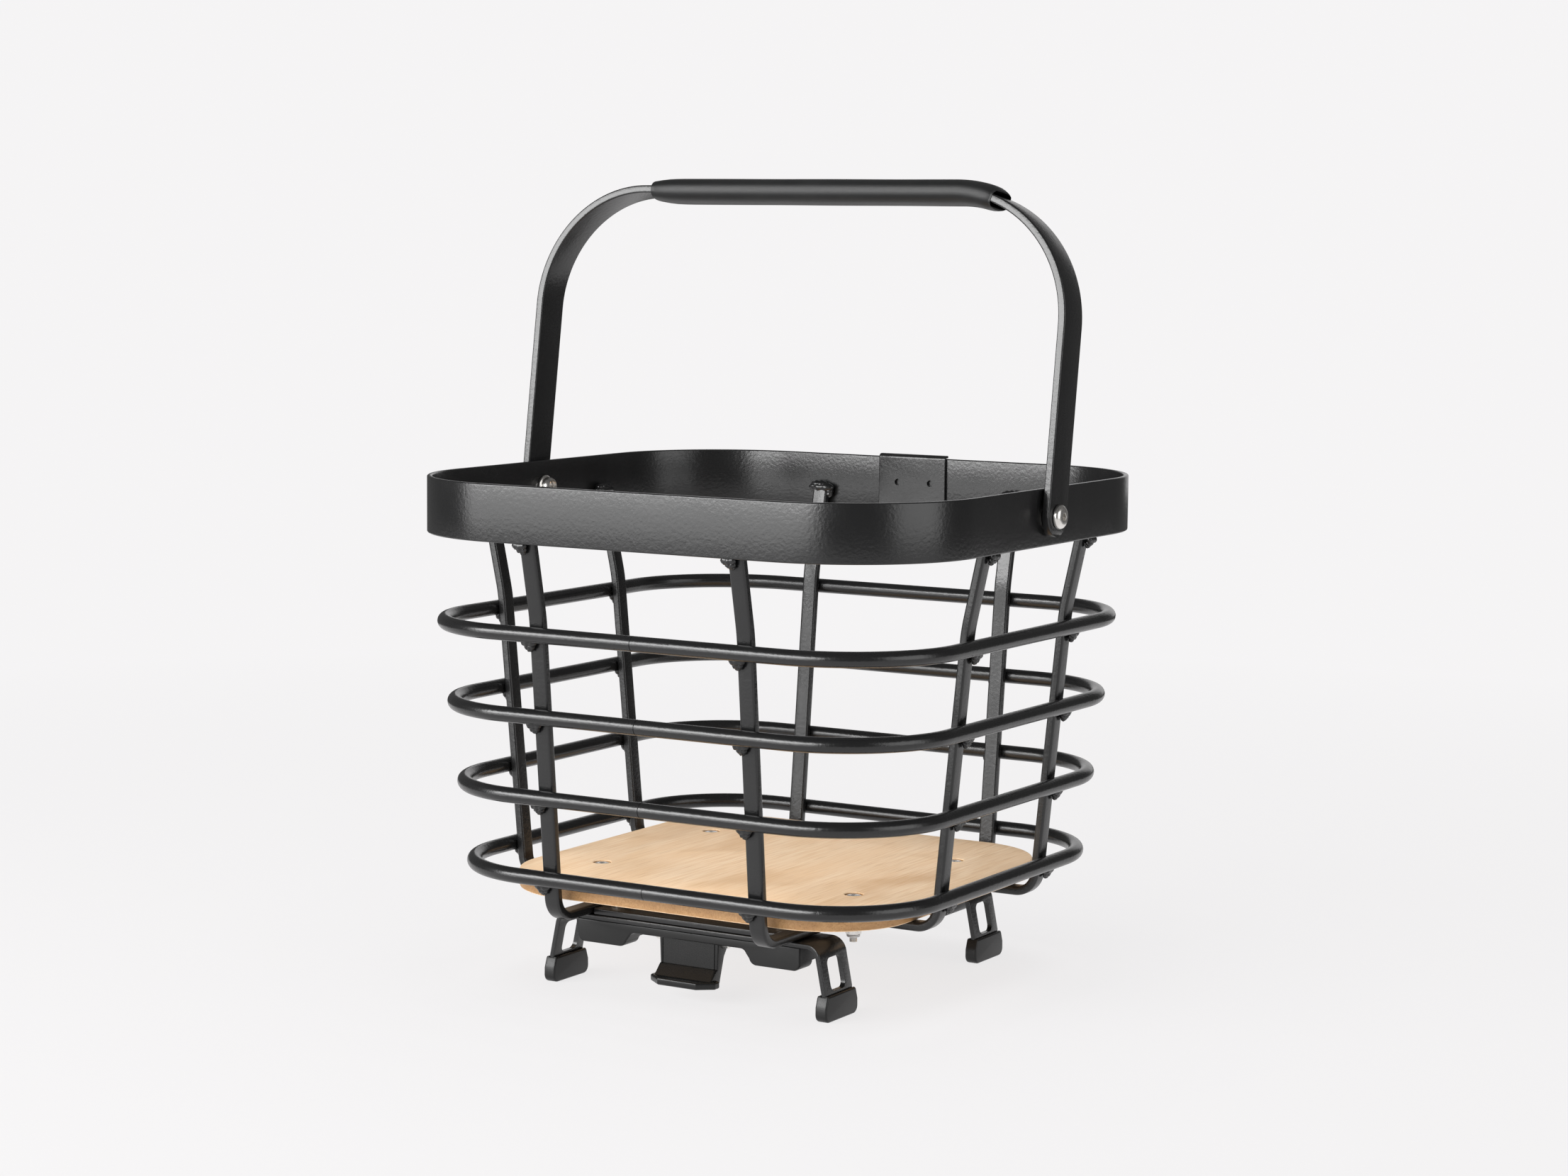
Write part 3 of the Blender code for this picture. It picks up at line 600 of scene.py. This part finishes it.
def crossings(index):
    """Where bars meet a hoop's level: the bar's row, the ways out and along the side, the hoop's reach."""
    reach = hoop_half(index)
    side_way, end_way = Vector((1, 0, 0)), Vector((0, 1, 0))
    rows = []
    for end in (-1, 1):
        for node in ("side_bar_left", "side_bar_right"):
            row = Vector((middle(node).x, MIDDLE_Y, 0))
            rows.append((row, Vector((0, end, 0)), side_way, reach[1]))
        for node in ("cross_bar_front", "cross_bar_rear"):
            row = Vector((0, middle(node).y, 0))
            rows.append((row, Vector((end, 0, 0)), end_way, reach[0]))
    return rows


def make_welds(material):
    """Beads under each hoop at every bar, at the rim's lower edge, and over the bar ends inside the rim."""
    beads = []
    for i in range(4):
        level = Vector((0, 0, middle(f"hoop_{i + 1}").z))
        for row, out, along, reach in crossings(i):
            shift = (3.2 if out.x else -3.2) + (RANDOM.random() - 0.5) * 1.4
            spot = row + out * (reach - 2.4 * MM) + level + along * shift * MM
            beads += hanging_beads(spot, out, along, HOOP_BEADS)
    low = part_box("rim_band")[0][2]
    half = half_size("rim_band")
    for row, out, along, reach in crossings(0):
        rim = half.y if out.y else half.x
        beads += rim_beads(row + out * rim, out, along, low)
    piece("weld_beads", joined(beads), material, "frame")


def hanging_beads(spot, out, along, runs):
    """Beads under one another, each a little further in and shorter, so that the weld narrows downwards."""
    beads = []
    for inward, drop, length, radius, squash in runs:
        centre = spot - out * inward * MM - Vector((0, 0, drop * MM))
        beads.append(bead(centre, along, length * MM, radius * MM, squash))
    return beads


def rim_beads(spot, out, along, low):
    """Weld that fills the wedge between a leaning bar and the rim's lower edge, and the cap over its end."""
    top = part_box("side_bar_right")[1][2]
    up = Vector((0, 0, 1))
    shift = along * (2.6 if out.x else -2.6) * MM
    runs = []
    for inward, drop, keep, length, radius, squash in RIM_BEADS:
        centre = spot - out * inward * MM + shift * keep + up * (low - drop * MM)
        runs.append(bead(centre, along, length * MM, radius * MM, squash))
    inner = spot - out * (RIM_THICK + 3.3 * MM) + up * (top + 0.4 * MM)
    runs.append(bead(inner, along, 18 * MM, 3.5 * MM, 0.9))
    runs.append(bead(inner + up * 2.0 * MM - along * 1.6 * MM, along, 11.5 * MM, 3.0 * MM, 0.8))
    runs.append(bead(inner + along * 6.0 * MM - up * 2.6 * MM, up, 7.5 * MM, 2.4 * MM))
    return runs


# ---------------------------------------------------------------- floor and base

def make_board(face, edge):
    low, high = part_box("floor_board")
    half, centre = half_size("floor_board"), middle("floor_board")
    outline = rounded_rectangle((half.x, half.y), BOARD_CORNER, 28)
    mesh = plate(outline, low[2] - centre.z, high[2] - centre.z, "Z", 0.9 * MM, 4)
    top = high[2] - centre.z
    for i in range(4):
        spot = middle(f"board_screw_{i + 1}") - centre
        mesh = shaped(mesh, moved(rod(20 * MM, BOARD_BORE_R, "Z"), (spot.x, spot.y, 0)))
        sink = turned([(-2.8 * MM, 5.3 * MM), (-0.5 * MM, 5.4 * MM), (0.3 * MM, 6.2 * MM),
                       (2 * MM, 6.3 * MM)], "Z")
        mesh = shaped(mesh, moved(sink, (spot.x, spot.y, top)))
    piece("bamboo_floor", mesh, face, "frame", centre, ["floor_board"])
    # Sideways faces, the bore and sink walls among them, get the warmer, darker edge copy; its darkness is
    # painted shade.
    mesh.materials.append(edge)
    for polygon in mesh.polygons:
        if abs(polygon.normal.z) < 0.5:
            polygon.material_index = 1


def star(radius, depth, count=6, inner=0.72):
    """A star-shaped driver recess, to be cut from a screw head."""
    points = []
    for i in range(count * 6):
        a = 2 * math.pi * i / (count * 6)
        r = radius * (0.5 * (1 + inner) + 0.5 * (1 - inner) * math.cos(a * count))
        points.append((r * math.cos(a), r * math.sin(a)))
    return plate(points, -depth, depth, "Z")


def floor_screw(end, top):
    """Button-head screw with a threaded shank and a star recess."""
    shank = [(end, 1.9 * MM), (end + 0.5 * MM, 2.3 * MM)] + thread(end + 0.8 * MM, 9, 0.8 * MM, 2.3 * MM)
    head = [(top - 1.9 * MM, 2.3 * MM), (top - 1.9 * MM, 4.8 * MM), (top - 1.7 * MM, 5 * MM),
            (top - 0.7 * MM, 4.9 * MM), (top - 0.2 * MM, 4.1 * MM), (top, 2.8 * MM)]
    return shaped(turned(shank + head, "Z"), moved(star(1.9 * MM, 1.2 * MM), (0, 0, top)))


def make_board_fasteners(steel, nylon):
    """Screws through the floor, with a washer and a lock nut with its collar below."""
    screw_low, screw_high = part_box("board_screw_1")
    nut_low, nut_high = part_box("board_nut_1")
    washer_low, washer_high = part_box("board_washer_1")
    for i in range(1, 5):
        spot = middle(f"board_screw_{i}")
        place = (spot.x, spot.y, 0)
        screw = floor_screw(screw_low[2], screw_high[2])
        piece(f"floor_screw_{i}", screw, steel, "frame", place, [f"board_screw_{i}"])
        low, high = washer_low[2], washer_high[2]
        washer = turned([(low, BOARD_BORE_R), (high, BOARD_BORE_R), (high, 4.8 * MM), (low, 5 * MM),
                         (low, BOARD_BORE_R)], "Z")
        node = f"board_washer_{i}"
        piece(f"floor_washer_{i}", washer, steel, "frame", place, [node], 0.15 * MM)
        low, high = nut_low[2], nut_high[2]
        nut = plate(hexagon(NUT_CORNER_R, 30), low + 1.6 * MM, high, "Z", 0.4 * MM, 2)
        nut = shaped(nut, turned([(low - 9 * MM, BOARD_BORE_R), (high + 9 * MM, BOARD_BORE_R)], "Z"))
        collar = turned([(low, 2.35 * MM), (low + 1.45 * MM, 2.35 * MM), (low + 1.45 * MM, 3.9 * MM),
                         (low + 0.4 * MM, 3.9 * MM), (low, 3.5 * MM), (low, 2.35 * MM)], "Z")
        piece(f"floor_nut_{i}", nut, steel, "frame", place, [f"board_nut_{i}"])
        piece(f"floor_nut_collar_{i}", collar, nylon, "frame", place)


def thread(start, turns, pitch, radius):
    """Profile stations of a screw thread, drawn as rings."""
    stations = []
    for i in range(turns):
        stations += [(start + i * pitch, radius - 0.28 * MM), (start + (i + 0.5) * pitch, radius)]
    return stations


def bracket_path(node):
    low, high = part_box(node)
    foot_x = middle("foot_cap_front_right").x
    cap_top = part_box("foot_cap_front_right")[1][2]
    level = high[2] - BRACKET_THICK / 2
    top_x = foot_x - LEG_TOP_IN
    lean = math.degrees(math.atan2(LEG_TOP_IN, level - cap_top))
    right = arc((top_x - LEG_BEND_R, level - LEG_BEND_R), LEG_BEND_R, 90, lean, 14)
    right += [(foot_x, cap_top + 1 * MM), (foot_x, low[2])]
    return [(-a, b) for a, b in reversed(right)] + right


def make_brackets(material):
    for end in ("front", "rear"):
        node = f"{end}_bracket"
        spot, half = middle(node), half_size(node)
        section = rounded_rectangle((half.y, BRACKET_THICK / 2), 0.7 * MM, 3)
        mesh = capped_sweep(bracket_path(node), section, "XZ", 0.4 * MM)
        slot = [(a, b + LEG_SLOT_Z) for a, b in rounded_rectangle(LEG_SLOT_HALF, LEG_SLOT_R, 8)]
        mesh = shaped(mesh, plate(slot, -0.12, 0.12, "X"))
        place = (0, spot.y, 0)
        piece(f"{end}_leg_bracket", mesh, material, "frame", place, [node], 0.5 * MM)
        node = f"{end}_spacer"
        spot, half = middle(node), half_size(node)
        outline = rounded_rectangle((half.x, half.y), 2 * MM, 4)
        mesh = plate(outline, -half.z, half.z, "Z", 0.7 * MM)
        piece(f"{end}_packer", mesh, material, "frame", spot, [node])


def make_foot_caps(material):
    """Rubber caps: narrow mouth, wide tread end, a rounded lip round the leg."""
    for end in ("front", "rear"):
        for side in ("left", "right"):
            node = f"foot_cap_{end}_{side}"
            spot, half = middle(node), half_size(node)
            y, z = half.y, half.z
            outline = arc((y - 4.5 * MM, -z + 4.5 * MM), 4.5 * MM, -90, 0, 8)
            outline += [(y - 0.1 * MM, z - 6.4 * MM), (y - 0.6 * MM, z - 5 * MM), (y - 2.0 * MM, z - 1 * MM),
                        (y - 2.7 * MM, z)]
            outline += [(-a, b) for a, b in reversed(outline)]
            mesh = plate(outline, -half.x, half.x, "X", 1.2 * MM, 4)
            leg_half = (BRACKET_THICK / 2 + 0.4 * MM, half_size(f"{end}_bracket").y + 0.4 * MM)
            pocket = plate(rounded_rectangle(leg_half, 0.8 * MM, 3), -z + 3 * MM, z + 5 * MM, "Z")
            mesh = shaped(mesh, pocket)
            piece(f"{node}_rubber", mesh, material, "frame", spot, [node], 0.35 * MM)


def shoe_outline(node):
    """A rack shoe block from the front: thin web between two deeper shoes."""
    low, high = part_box(node)
    half, shoe = high[0], SHOE_INNER_X
    web = low[2] + WEB_UP
    right = arc((shoe - 8 * MM, web - 4 * MM), 4 * MM, 90, 25, 8)
    right += arc((shoe + 2.6 * MM, low[2] + 5 * MM), 5 * MM, 196, 268, 10)
    right += arc((half - 4.5 * MM, low[2] + 4.5 * MM), 4.5 * MM, -88, 0, 10) + [(half, high[2])]
    return right + [(-a, b) for a, b in reversed(right)]


def front_shoe_cuts(mesh, low, high):
    """Window for the lever, relief behind the shoes' front walls, and the bore for the lever's pin."""
    side = half_size("latch_pin").x - 4.2 * MM
    front, back = LATCH_PIVOT.y - 5.5 * MM, high[1] - 4 * MM
    window = [(-side, front), (side, front), (side, back), (-side, back)]
    mesh = shaped(mesh, plate(window, 0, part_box("latch_lever")[1][2] + 20 * MM, "Z"))
    reach, start = 80 * MM, low[1] + SHOE_DEEP
    relief = [(-reach, start), (reach, start), (reach, high[1] + 1 * MM), (-reach, high[1] + 1 * MM)]
    mesh = shaped(mesh, plate(relief, 0, low[2] + SHOE_RELIEF_UP, "Z"))
    bore = rod(PIN_BORE_HALF, PIN_BORE_R, "X")
    return shaped(mesh, moved(bore, (0, LATCH_PIVOT.y, LATCH_PIVOT.z)))


def make_rack_parts(plastic, steel):
    """Shoe blocks at both ends, and the screws that hold them to the brackets."""
    for node, name in (("rack_adapter", "rack_shoe_front"), ("rear_hook", "rack_shoe_rear")):
        low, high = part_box(node)
        mesh = plate(shoe_outline(node), low[1], high[1], "Y", 1.1 * MM, 4)
        if node == "rack_adapter":
            mesh = front_shoe_cuts(mesh, low, high)
        piece(name, mesh, plastic, "frame", (0, 0, 0), [node], 0.3 * MM)
    for end in ("front", "rear"):
        for side in ("left", "right"):
            node = f"adapter_screw_{end}_{side}"
            spot = middle(node)
            low, high = (corner[2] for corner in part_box(node))
            mesh = turned([(low, 1.8 * MM), (low + 0.5 * MM, 2.2 * MM), (high - 2.4 * MM, 2.2 * MM),
                           (high - 2.4 * MM, 3.7 * MM), (high - 2.2 * MM, 3.9 * MM),
                           (high - 1.0 * MM, 3.8 * MM), (high - 0.3 * MM, 2.9 * MM), (high, 1.6 * MM)], "Z")
            mesh = shaped(mesh, moved(star(1.2 * MM, 1 * MM), (0, 0, high)))
            piece(f"{node}_steel", mesh, steel, "frame", (spot.x, spot.y, 0), [node])


def tapered(mesh, foot, taper):
    """Narrow a lever from its pin down to its foot."""
    for vertex in mesh.vertices:
        vertex.co.x *= 1 - taper * min(1, max(0, vertex.co.z / foot))
    return mesh


def lever_side(r, front, foot):
    """Lever from the side: barrel round the pin, flat front, steep ramp to the lip, round heel, slim back."""
    outline = arc((0, 0), r, 0, 180, 24)
    outline += [(-r, foot + LIP_RAMP_TOP), (-r - 0.9 * MM, foot + LIP_RAMP_TOP - 0.3 * MM)]
    outline += [(front + 6 * MM, foot + 4.5 * MM), (front + 6 * MM, foot + 0.7 * MM)]
    outline += [(-7 * MM, foot)] + arc((-5 * MM, foot + 4 * MM), 4 * MM, -90, 0, 14)
    return outline + [(2.2 * MM, -7.5 * MM), (r, -3 * MM)]


def lip_outline(front):
    """Finger lip from above, with its outer corners cut off."""
    corner = front + 7 * MM
    right = [(13 * MM, front), (LIP_HALF_X, corner), (LIP_HALF_X, -7 * MM), (18.5 * MM, -5 * MM)]
    return [(-13 * MM, front)] + right + [(-a, b) for a, b in reversed(right[1:])]


def make_latch(plastic):
    """Lever with a rounded barrel at its pin, a flat front between two seams, and a chamfered finger lip."""
    low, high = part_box("latch_lever")
    r = high[2] - LATCH_PIVOT.z
    foot = low[2] - LATCH_PIVOT.z
    front = low[1] - LATCH_PIVOT.y
    mesh = plate(lever_side(r, front, foot), -LEVER_HALF_X, LEVER_HALF_X, "X", 0.9 * MM, 4)
    mesh = tapered(mesh, foot, 0.05)
    lip = plate(lip_outline(front), foot + 0.1 * MM, foot + LIP_TALL, "Z", 1.2 * MM, 4)
    mesh = shaped(mesh, lip, "UNION")
    mesh = shaped(mesh, rod(40 * MM, PIN_BORE_R, "X"))
    reach = r - 1.1 * MM
    pocket = [(-7 * MM, -reach), (7 * MM, -reach), (7 * MM, reach + 4 * MM), (-7 * MM, reach + 4 * MM)]
    mesh = shaped(mesh, plate(pocket, -reach, 9 * MM, "Z"))
    for side in (-1, 1):
        groove = rounded_rectangle((0.35 * MM, 9.5 * MM), 0.3 * MM, 3)
        groove = [(a + side * SEAM_X, b - 7 * MM) for a, b in groove]
        mesh = shaped(mesh, plate(groove, -r - 1 * MM, -r + 0.5 * MM, "Y"))
    piece("release_lever", mesh, plastic, "latch", LATCH_PIVOT, ["latch_lever"], 0.25 * MM)


# ---------------------------------------------------------------- handle

def lean_matrix():
    """From the handle's upright space to its leaning rest place."""
    return Matrix.Translation(PIVOT) @ Matrix.Rotation(-HANDLE_LEAN, 4, "X")


def bow_half():
    return half_size("handle_bow").x - BOW_THICK / 2


def bow_path(steps=36):
    """Middle line of the bow above its pivots; the two top corners differ a little."""
    half, height = bow_half(), bow_height()
    left, right = BOW_CORNERS
    path = [(-half, 0)] + arc((left - half, height - left), left, 180, 90, steps)
    return path + arc((half - right, height - right), right, 90, 0, steps) + [(half, 0)]


def bow_height():
    """Height of the bow's middle line above the pivot, from the top of its leaning box."""
    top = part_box("handle_bow")[1][2] - PIVOT.z
    edge = BOW_THICK / 2 * math.cos(HANDLE_LEAN) + BOW_WIDE / 2 * math.sin(HANDLE_LEAN)
    return (top - edge) / math.cos(HANDLE_LEAN)


def make_bow(material):
    half = bow_half()
    section = rounded_rectangle((BOW_WIDE / 2, BOW_THICK / 2), 0.9 * MM, 4)
    rings = swept_rings(bow_path(), section, "XZ")
    ends = []
    for step in range(12, 0, -1):
        angle = math.radians(step * 7.2)
        drop, narrow = -BOW_WIDE / 2 * math.sin(angle), math.cos(angle)
        ends.append([(-half - out, across * narrow, drop) for across, out in section])
    rings = ends + rings + [[(-x, y, z) for x, y, z in ring] for ring in reversed(ends)]
    mesh = loft(rings)
    for side in (-1, 1):
        mesh = shaped(mesh, moved(rod(8 * MM, PIVOT_BORE_R, "X"), (side * half, 0, 0)))
    mesh.transform(lean_matrix())
    piece("carry_bow", mesh, material, "handle", nodes=["handle_bow"])


def make_grip(material):
    """Soft sleeve round the bow's top: snug on the left, its open right end follows the corner."""
    half, height, corner = bow_half(), bow_height(), BOW_CORNERS[1]
    start, reach = GRIP_LEFT_X, half - corner
    path = [(start + (reach - start) * i / 40, height) for i in range(40)]
    path += arc((reach, height - corner), corner, 90, 90 - GRIP_OVER_CORNER, 14)
    total = len(path) - 1
    outer, inner = [], []
    for i, (point, normal) in enumerate(zip(path, path_normals(path, False))):
        round_off = (0.80, 0.90, 0.965, 0.99, 1.0)[min(i, total - i, 4)]
        swell = 1 + 0.012 * noise.noise(Vector((point[0] * 22, 0.3, 0)))
        open_end = max(0.0, (i - (total - 12)) / 12)
        gap = open_end ** 1.4 * 2.0 * MM
        skin = oval(GRIP_WIDE * swell * (0.5 + 0.5 * round_off), GRIP_THICK * swell * round_off, 0.74)
        bore = oval(BOW_WIDE + 0.6 * MM, BOW_THICK + 1.2 * MM + 2 * gap, 0.34 + 0.14 * open_end)
        outer.append(section_ring(point, normal, skin))
        inner.append(section_ring(point, normal, bore))
    mesh = loft(outer + inner[::-1], closed=True)
    mesh.transform(lean_matrix())
    piece("soft_grip", mesh, material, "handle", nodes=["handle_grip"])


def section_ring(point, normal, section):
    return [(point[0] + normal.x * out, across, point[1] + normal.y * out) for across, out in section]


def pivot_bolt(name, side):
    """Shoulder screw with a domed, bevelled head and a hexagon socket."""
    inner, reach = sorted(abs(corner[0]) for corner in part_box(f"pivot_screw_{name}"))
    face = half_size("handle_bow").x + GAP
    rise = face + 0.9 * MM
    profile = [(inner, 3.4 * MM), (inner + 0.5 * MM, 3.9 * MM), (face, 3.9 * MM), (face, 6.8 * MM),
               (face + 0.2 * MM, 7 * MM), (rise, 7 * MM)]
    for i in range(1, 9):
        a = math.pi / 2 * i / 9
        profile.append((rise + (reach - face - 0.9 * MM) * math.sin(a), 3.4 * MM + 3.6 * MM * math.cos(a)))
    profile.append((reach, 2.9 * MM))
    mesh = turned([(side * along, radius) for along, radius in profile], "X", 48)
    socket = plate(hexagon(2.5 * MM, 0), reach - 2.4 * MM, reach + 1 * MM, "X")
    if side < 0:
        socket.transform(Matrix.Scale(-1, 4, (1, 0, 0)))
        socket.flip_normals()
    return shaped(mesh, socket)


def sleeve_nut(name, side):
    """Flanged nut inside the rim, round the screw's end."""
    inner, outer = sorted(abs(corner[0]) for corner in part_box(f"pivot_nut_{name}"))
    bore = PIVOT_BORE_R
    profile = [(outer, bore), (outer, 6.9 * MM), (outer - 0.3 * MM, 7 * MM), (outer - 1.1 * MM, 7 * MM),
               (outer - 1.5 * MM, 6.6 * MM), (outer - 1.7 * MM, 5.8 * MM), (outer - 4.2 * MM, 5.7 * MM),
               (outer - 5.4 * MM, 5.2 * MM), (inner, 4.5 * MM), (inner, bore), (outer, bore)]
    return turned([(side * along, radius) for along, radius in profile], "X", 48)


def make_pivots(steel):
    place = (0, PIVOT.y, PIVOT.z)
    for name, side in (("left", -1), ("right", 1)):
        bolt, nut = pivot_bolt(name, side), sleeve_nut(name, side)
        node = f"pivot_screw_{name}"
        piece(f"pivot_bolt_{name}", bolt, steel, "frame", place, [node], 0.12 * MM)
        piece(f"sleeve_nut_{name}", nut, steel, "frame", place, [f"pivot_nut_{name}"])


def make_clip(material):
    low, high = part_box("rear_clip")
    half = CLIP_THICK / 2
    inner, top = low[1] + half, high[2] - half
    bend = arc((inner + CLIP_BEND_R, top - CLIP_BEND_R), CLIP_BEND_R, 180, 90, 10)
    path = [(inner, low[2])] + bend + [(high[1], top)]
    centre_x = (low[0] + high[0]) / 2
    section = rounded_rectangle(((high[0] - low[0]) / 2, half), 0.5 * MM, 3)
    mesh = capped_sweep(path, section, "YZ", 0.3 * MM)
    for x in CLIP_HOLES_X:
        hole = rod(3 * MM, CLIP_HOLE_R, "Y")
        mesh = shaped(mesh, moved(hole, (x - centre_x, inner, PIVOT.z)))
    piece("clip_plate", mesh, material, "frame", (centre_x, 0, 0), ["rear_clip"])


# ---------------------------------------------------------------- studio

TABLE_REACH = 1.3
FLOOR_REACH = 14.0
WALL_REACH = 7.0
WALL_HEIGHT = 4.5
BACKDROP_REACH = 3.4
BACKDROP_HEIGHT = 1.5
PAPER = (0.915, 0.905, 0.91)
FLOOR_GLOW = 0.84


def floor_material():
    """Backlit pale floor: matt near the object, fading into the even glow of the wall further out."""
    n = Nodes("studio_floor")
    where = n.add("TexCoord").outputs["Object"]
    distance = n.add("VectorMath", {"Vector": where}, operation="LENGTH").outputs["Value"]
    far = n.span(distance, FLOOR_GLOW, 1.0, 0.30, 1.5)
    grain = n.noise(where, 300, 3.0, 0.6)
    paper = n.ramp(grain, ((0.3, (0.66, 0.650, 0.652)), (0.7, (0.69, 0.680, 0.682))))
    n.set(Base_Color=paper, Roughness=0.8)
    mix = n.add("MixShader", {"Fac": far, 1: n.shader.outputs[0], 2: n.glow(PAPER)})
    n.finish(mix.outputs[0])
    return n.material


def wall_material():
    n = Nodes("studio_wall")
    n.finish(n.glow(PAPER))
    return n.material


def disc_ring(radius, height):
    return [(x, y, height) for x, y in arc((0, 0), radius, 0, 360, 96)[:-1]]


def ribbon(outline, low, high):
    """A plain upright strip along a line on the floor."""
    mesh = bpy.data.meshes.new("ribbon")
    points = [(x, y, low) for x, y in outline] + [(x, y, high) for x, y in outline]
    count = len(outline)
    mesh.from_pydata(points, [], [(i, i + 1, i + 1 + count, i + count) for i in range(count - 1)])
    return mesh


def stage_mesh(name, mesh, material):
    obj = bpy.data.objects.new(name, mesh)
    mesh.materials.append(material)
    bpy.context.scene.collection.objects.link(obj)
    return obj


def make_studio():
    """Pale floor, a pale wall that only the camera sees, and a paper arc seen only in reflections."""
    paper = floor_material()
    rings = [disc_ring(radius, height) for radius, height in
             ((TABLE_REACH, -0.02), (TABLE_REACH, 0.0), (FLOOR_REACH, 0.0))]
    table = stage_mesh("studio_floor", loft(rings[:2]), paper)
    beyond = stage_mesh("studio_floor_far", loft(rings[1:], capped=False), paper)
    rings = [disc_ring(WALL_REACH, height) for height in (0.0, WALL_HEIGHT)]
    wall = stage_mesh("studio_wall", loft(rings, capped=False), wall_material())
    behind = arc((0, 0), BACKDROP_REACH, 88, 130, 30)
    backdrop = stage_mesh("studio_backdrop", ribbon(behind, 0.05, BACKDROP_HEIGHT), wall_material())
    backdrop.visible_camera = False
    backdrop.visible_diffuse = False
    backdrop.visible_shadow = False
    wall.visible_diffuse = False
    wall.visible_glossy = False
    beyond.visible_glossy = False
    table.visible_shadow = False
    world = bpy.data.worlds.new("studio")
    bpy.context.scene.world = world
    world.use_nodes = True
    background = world.node_tree.nodes["Background"]
    background.inputs["Color"].default_value = (1.0, 0.99, 0.985, 1)
    background.inputs["Strength"].default_value = 0.12


def add_softbox(name, side_angle, rise_angle, distance, size, power):
    """A softbox aimed at the basket. Its side angle runs from the latch side towards the basket's right."""
    side, rise = math.radians(side_angle), math.radians(rise_angle)
    target = Vector((0, 0, 0.2))
    toward = Vector((math.sin(side) * math.cos(rise), -math.cos(side) * math.cos(rise), math.sin(rise)))
    light = bpy.data.lights.new(name, "AREA")
    light.shape = "RECTANGLE"
    light.size, light.size_y = size
    light.energy = power
    obj = bpy.data.objects.new(name, light)
    obj.location = target + toward * distance
    obj.rotation_mode = "QUATERNION"
    obj.rotation_quaternion = toward.to_track_quat("Z", "Y")
    obj.visible_camera = False
    bpy.context.scene.collection.objects.link(obj)
    return obj


def make_camera():
    """Camera on the latch side, turned towards the basket's right, a little above the rim."""
    turn, rise, roll = math.radians(30.91), math.radians(6.30), math.radians(0.551)
    back = Vector((math.sin(turn) * math.cos(rise), -math.cos(turn) * math.cos(rise), math.sin(rise)))
    right = Vector((math.cos(turn), math.sin(turn), 0))
    up = back.cross(right)
    rolled_right = math.cos(roll) * right + math.sin(roll) * up
    rolled_up = math.cos(roll) * up - math.sin(roll) * right
    data = bpy.data.cameras.new("camera")
    data.sensor_width = 36
    data.lens = 76.13
    data.clip_end = 100
    camera = bpy.data.objects.new("camera", data)
    camera.rotation_mode = "QUATERNION"
    camera.rotation_quaternion = Matrix((rolled_right, rolled_up, back)).transposed().to_quaternion()
    camera.location = (1.00630, -1.67803, 0.44567)
    bpy.context.scene.collection.objects.link(camera)
    bpy.context.scene.camera = camera


def give_material(names, material):
    """A better material on CAD pieces whose shape stays as it is."""
    for name in names:
        obj = frame["nodes"][name]
        for slot in obj.material_slots:
            slot.material = material


def build():
    bpy.context.scene.view_settings.view_transform = "Standard"
    coat = coated_metal("satin_coat")
    bow_coat = coated_metal("satin_coat_handle", 0.008, 0.25)
    steel = bright_steel("stainless")
    plastic = moulded("adapter_plastic", 0.006, 0.36, 1900)
    lever = moulded("lever_plastic", 0.006, 0.27, 2200)
    rubber = moulded("cap_rubber", 0.005, 0.36, 1300)
    nylon = moulded("nylon_collar", 0.55, 0.45, 1500)
    make_camera()
    make_rim(coat)
    make_hoops(coat)
    make_bars(coat)
    make_welds(coat)
    make_clip(coat)
    make_board(bamboo("bamboo_face"), bamboo("bamboo_warm_edge_painted_shade", edge=True))
    make_board_fasteners(steel, nylon)
    make_brackets(coat)
    make_foot_caps(rubber)
    make_rack_parts(plastic, steel)
    make_latch(lever)
    make_bow(bow_coat)
    make_grip(grip_skin("grip_skin"))
    make_pivots(steel)
    give_material(["latch_pin", "latch_spring", "pivot_washer_left", "pivot_washer_right"], steel)
    make_studio()
    add_softbox("front_softbox", -22, 20, 2.1, (2.4, 0.75), 48)
    add_softbox("front_fill", -22, 9, 2.15, (2.8, 1.4), 42)
    add_softbox("side_softbox", 86, 13, 2.1, (1.5, 1.5), 15)
    add_softbox("top_softbox", 170, 78, 2.0, (2.0, 2.0), 35).visible_glossy = False


build()
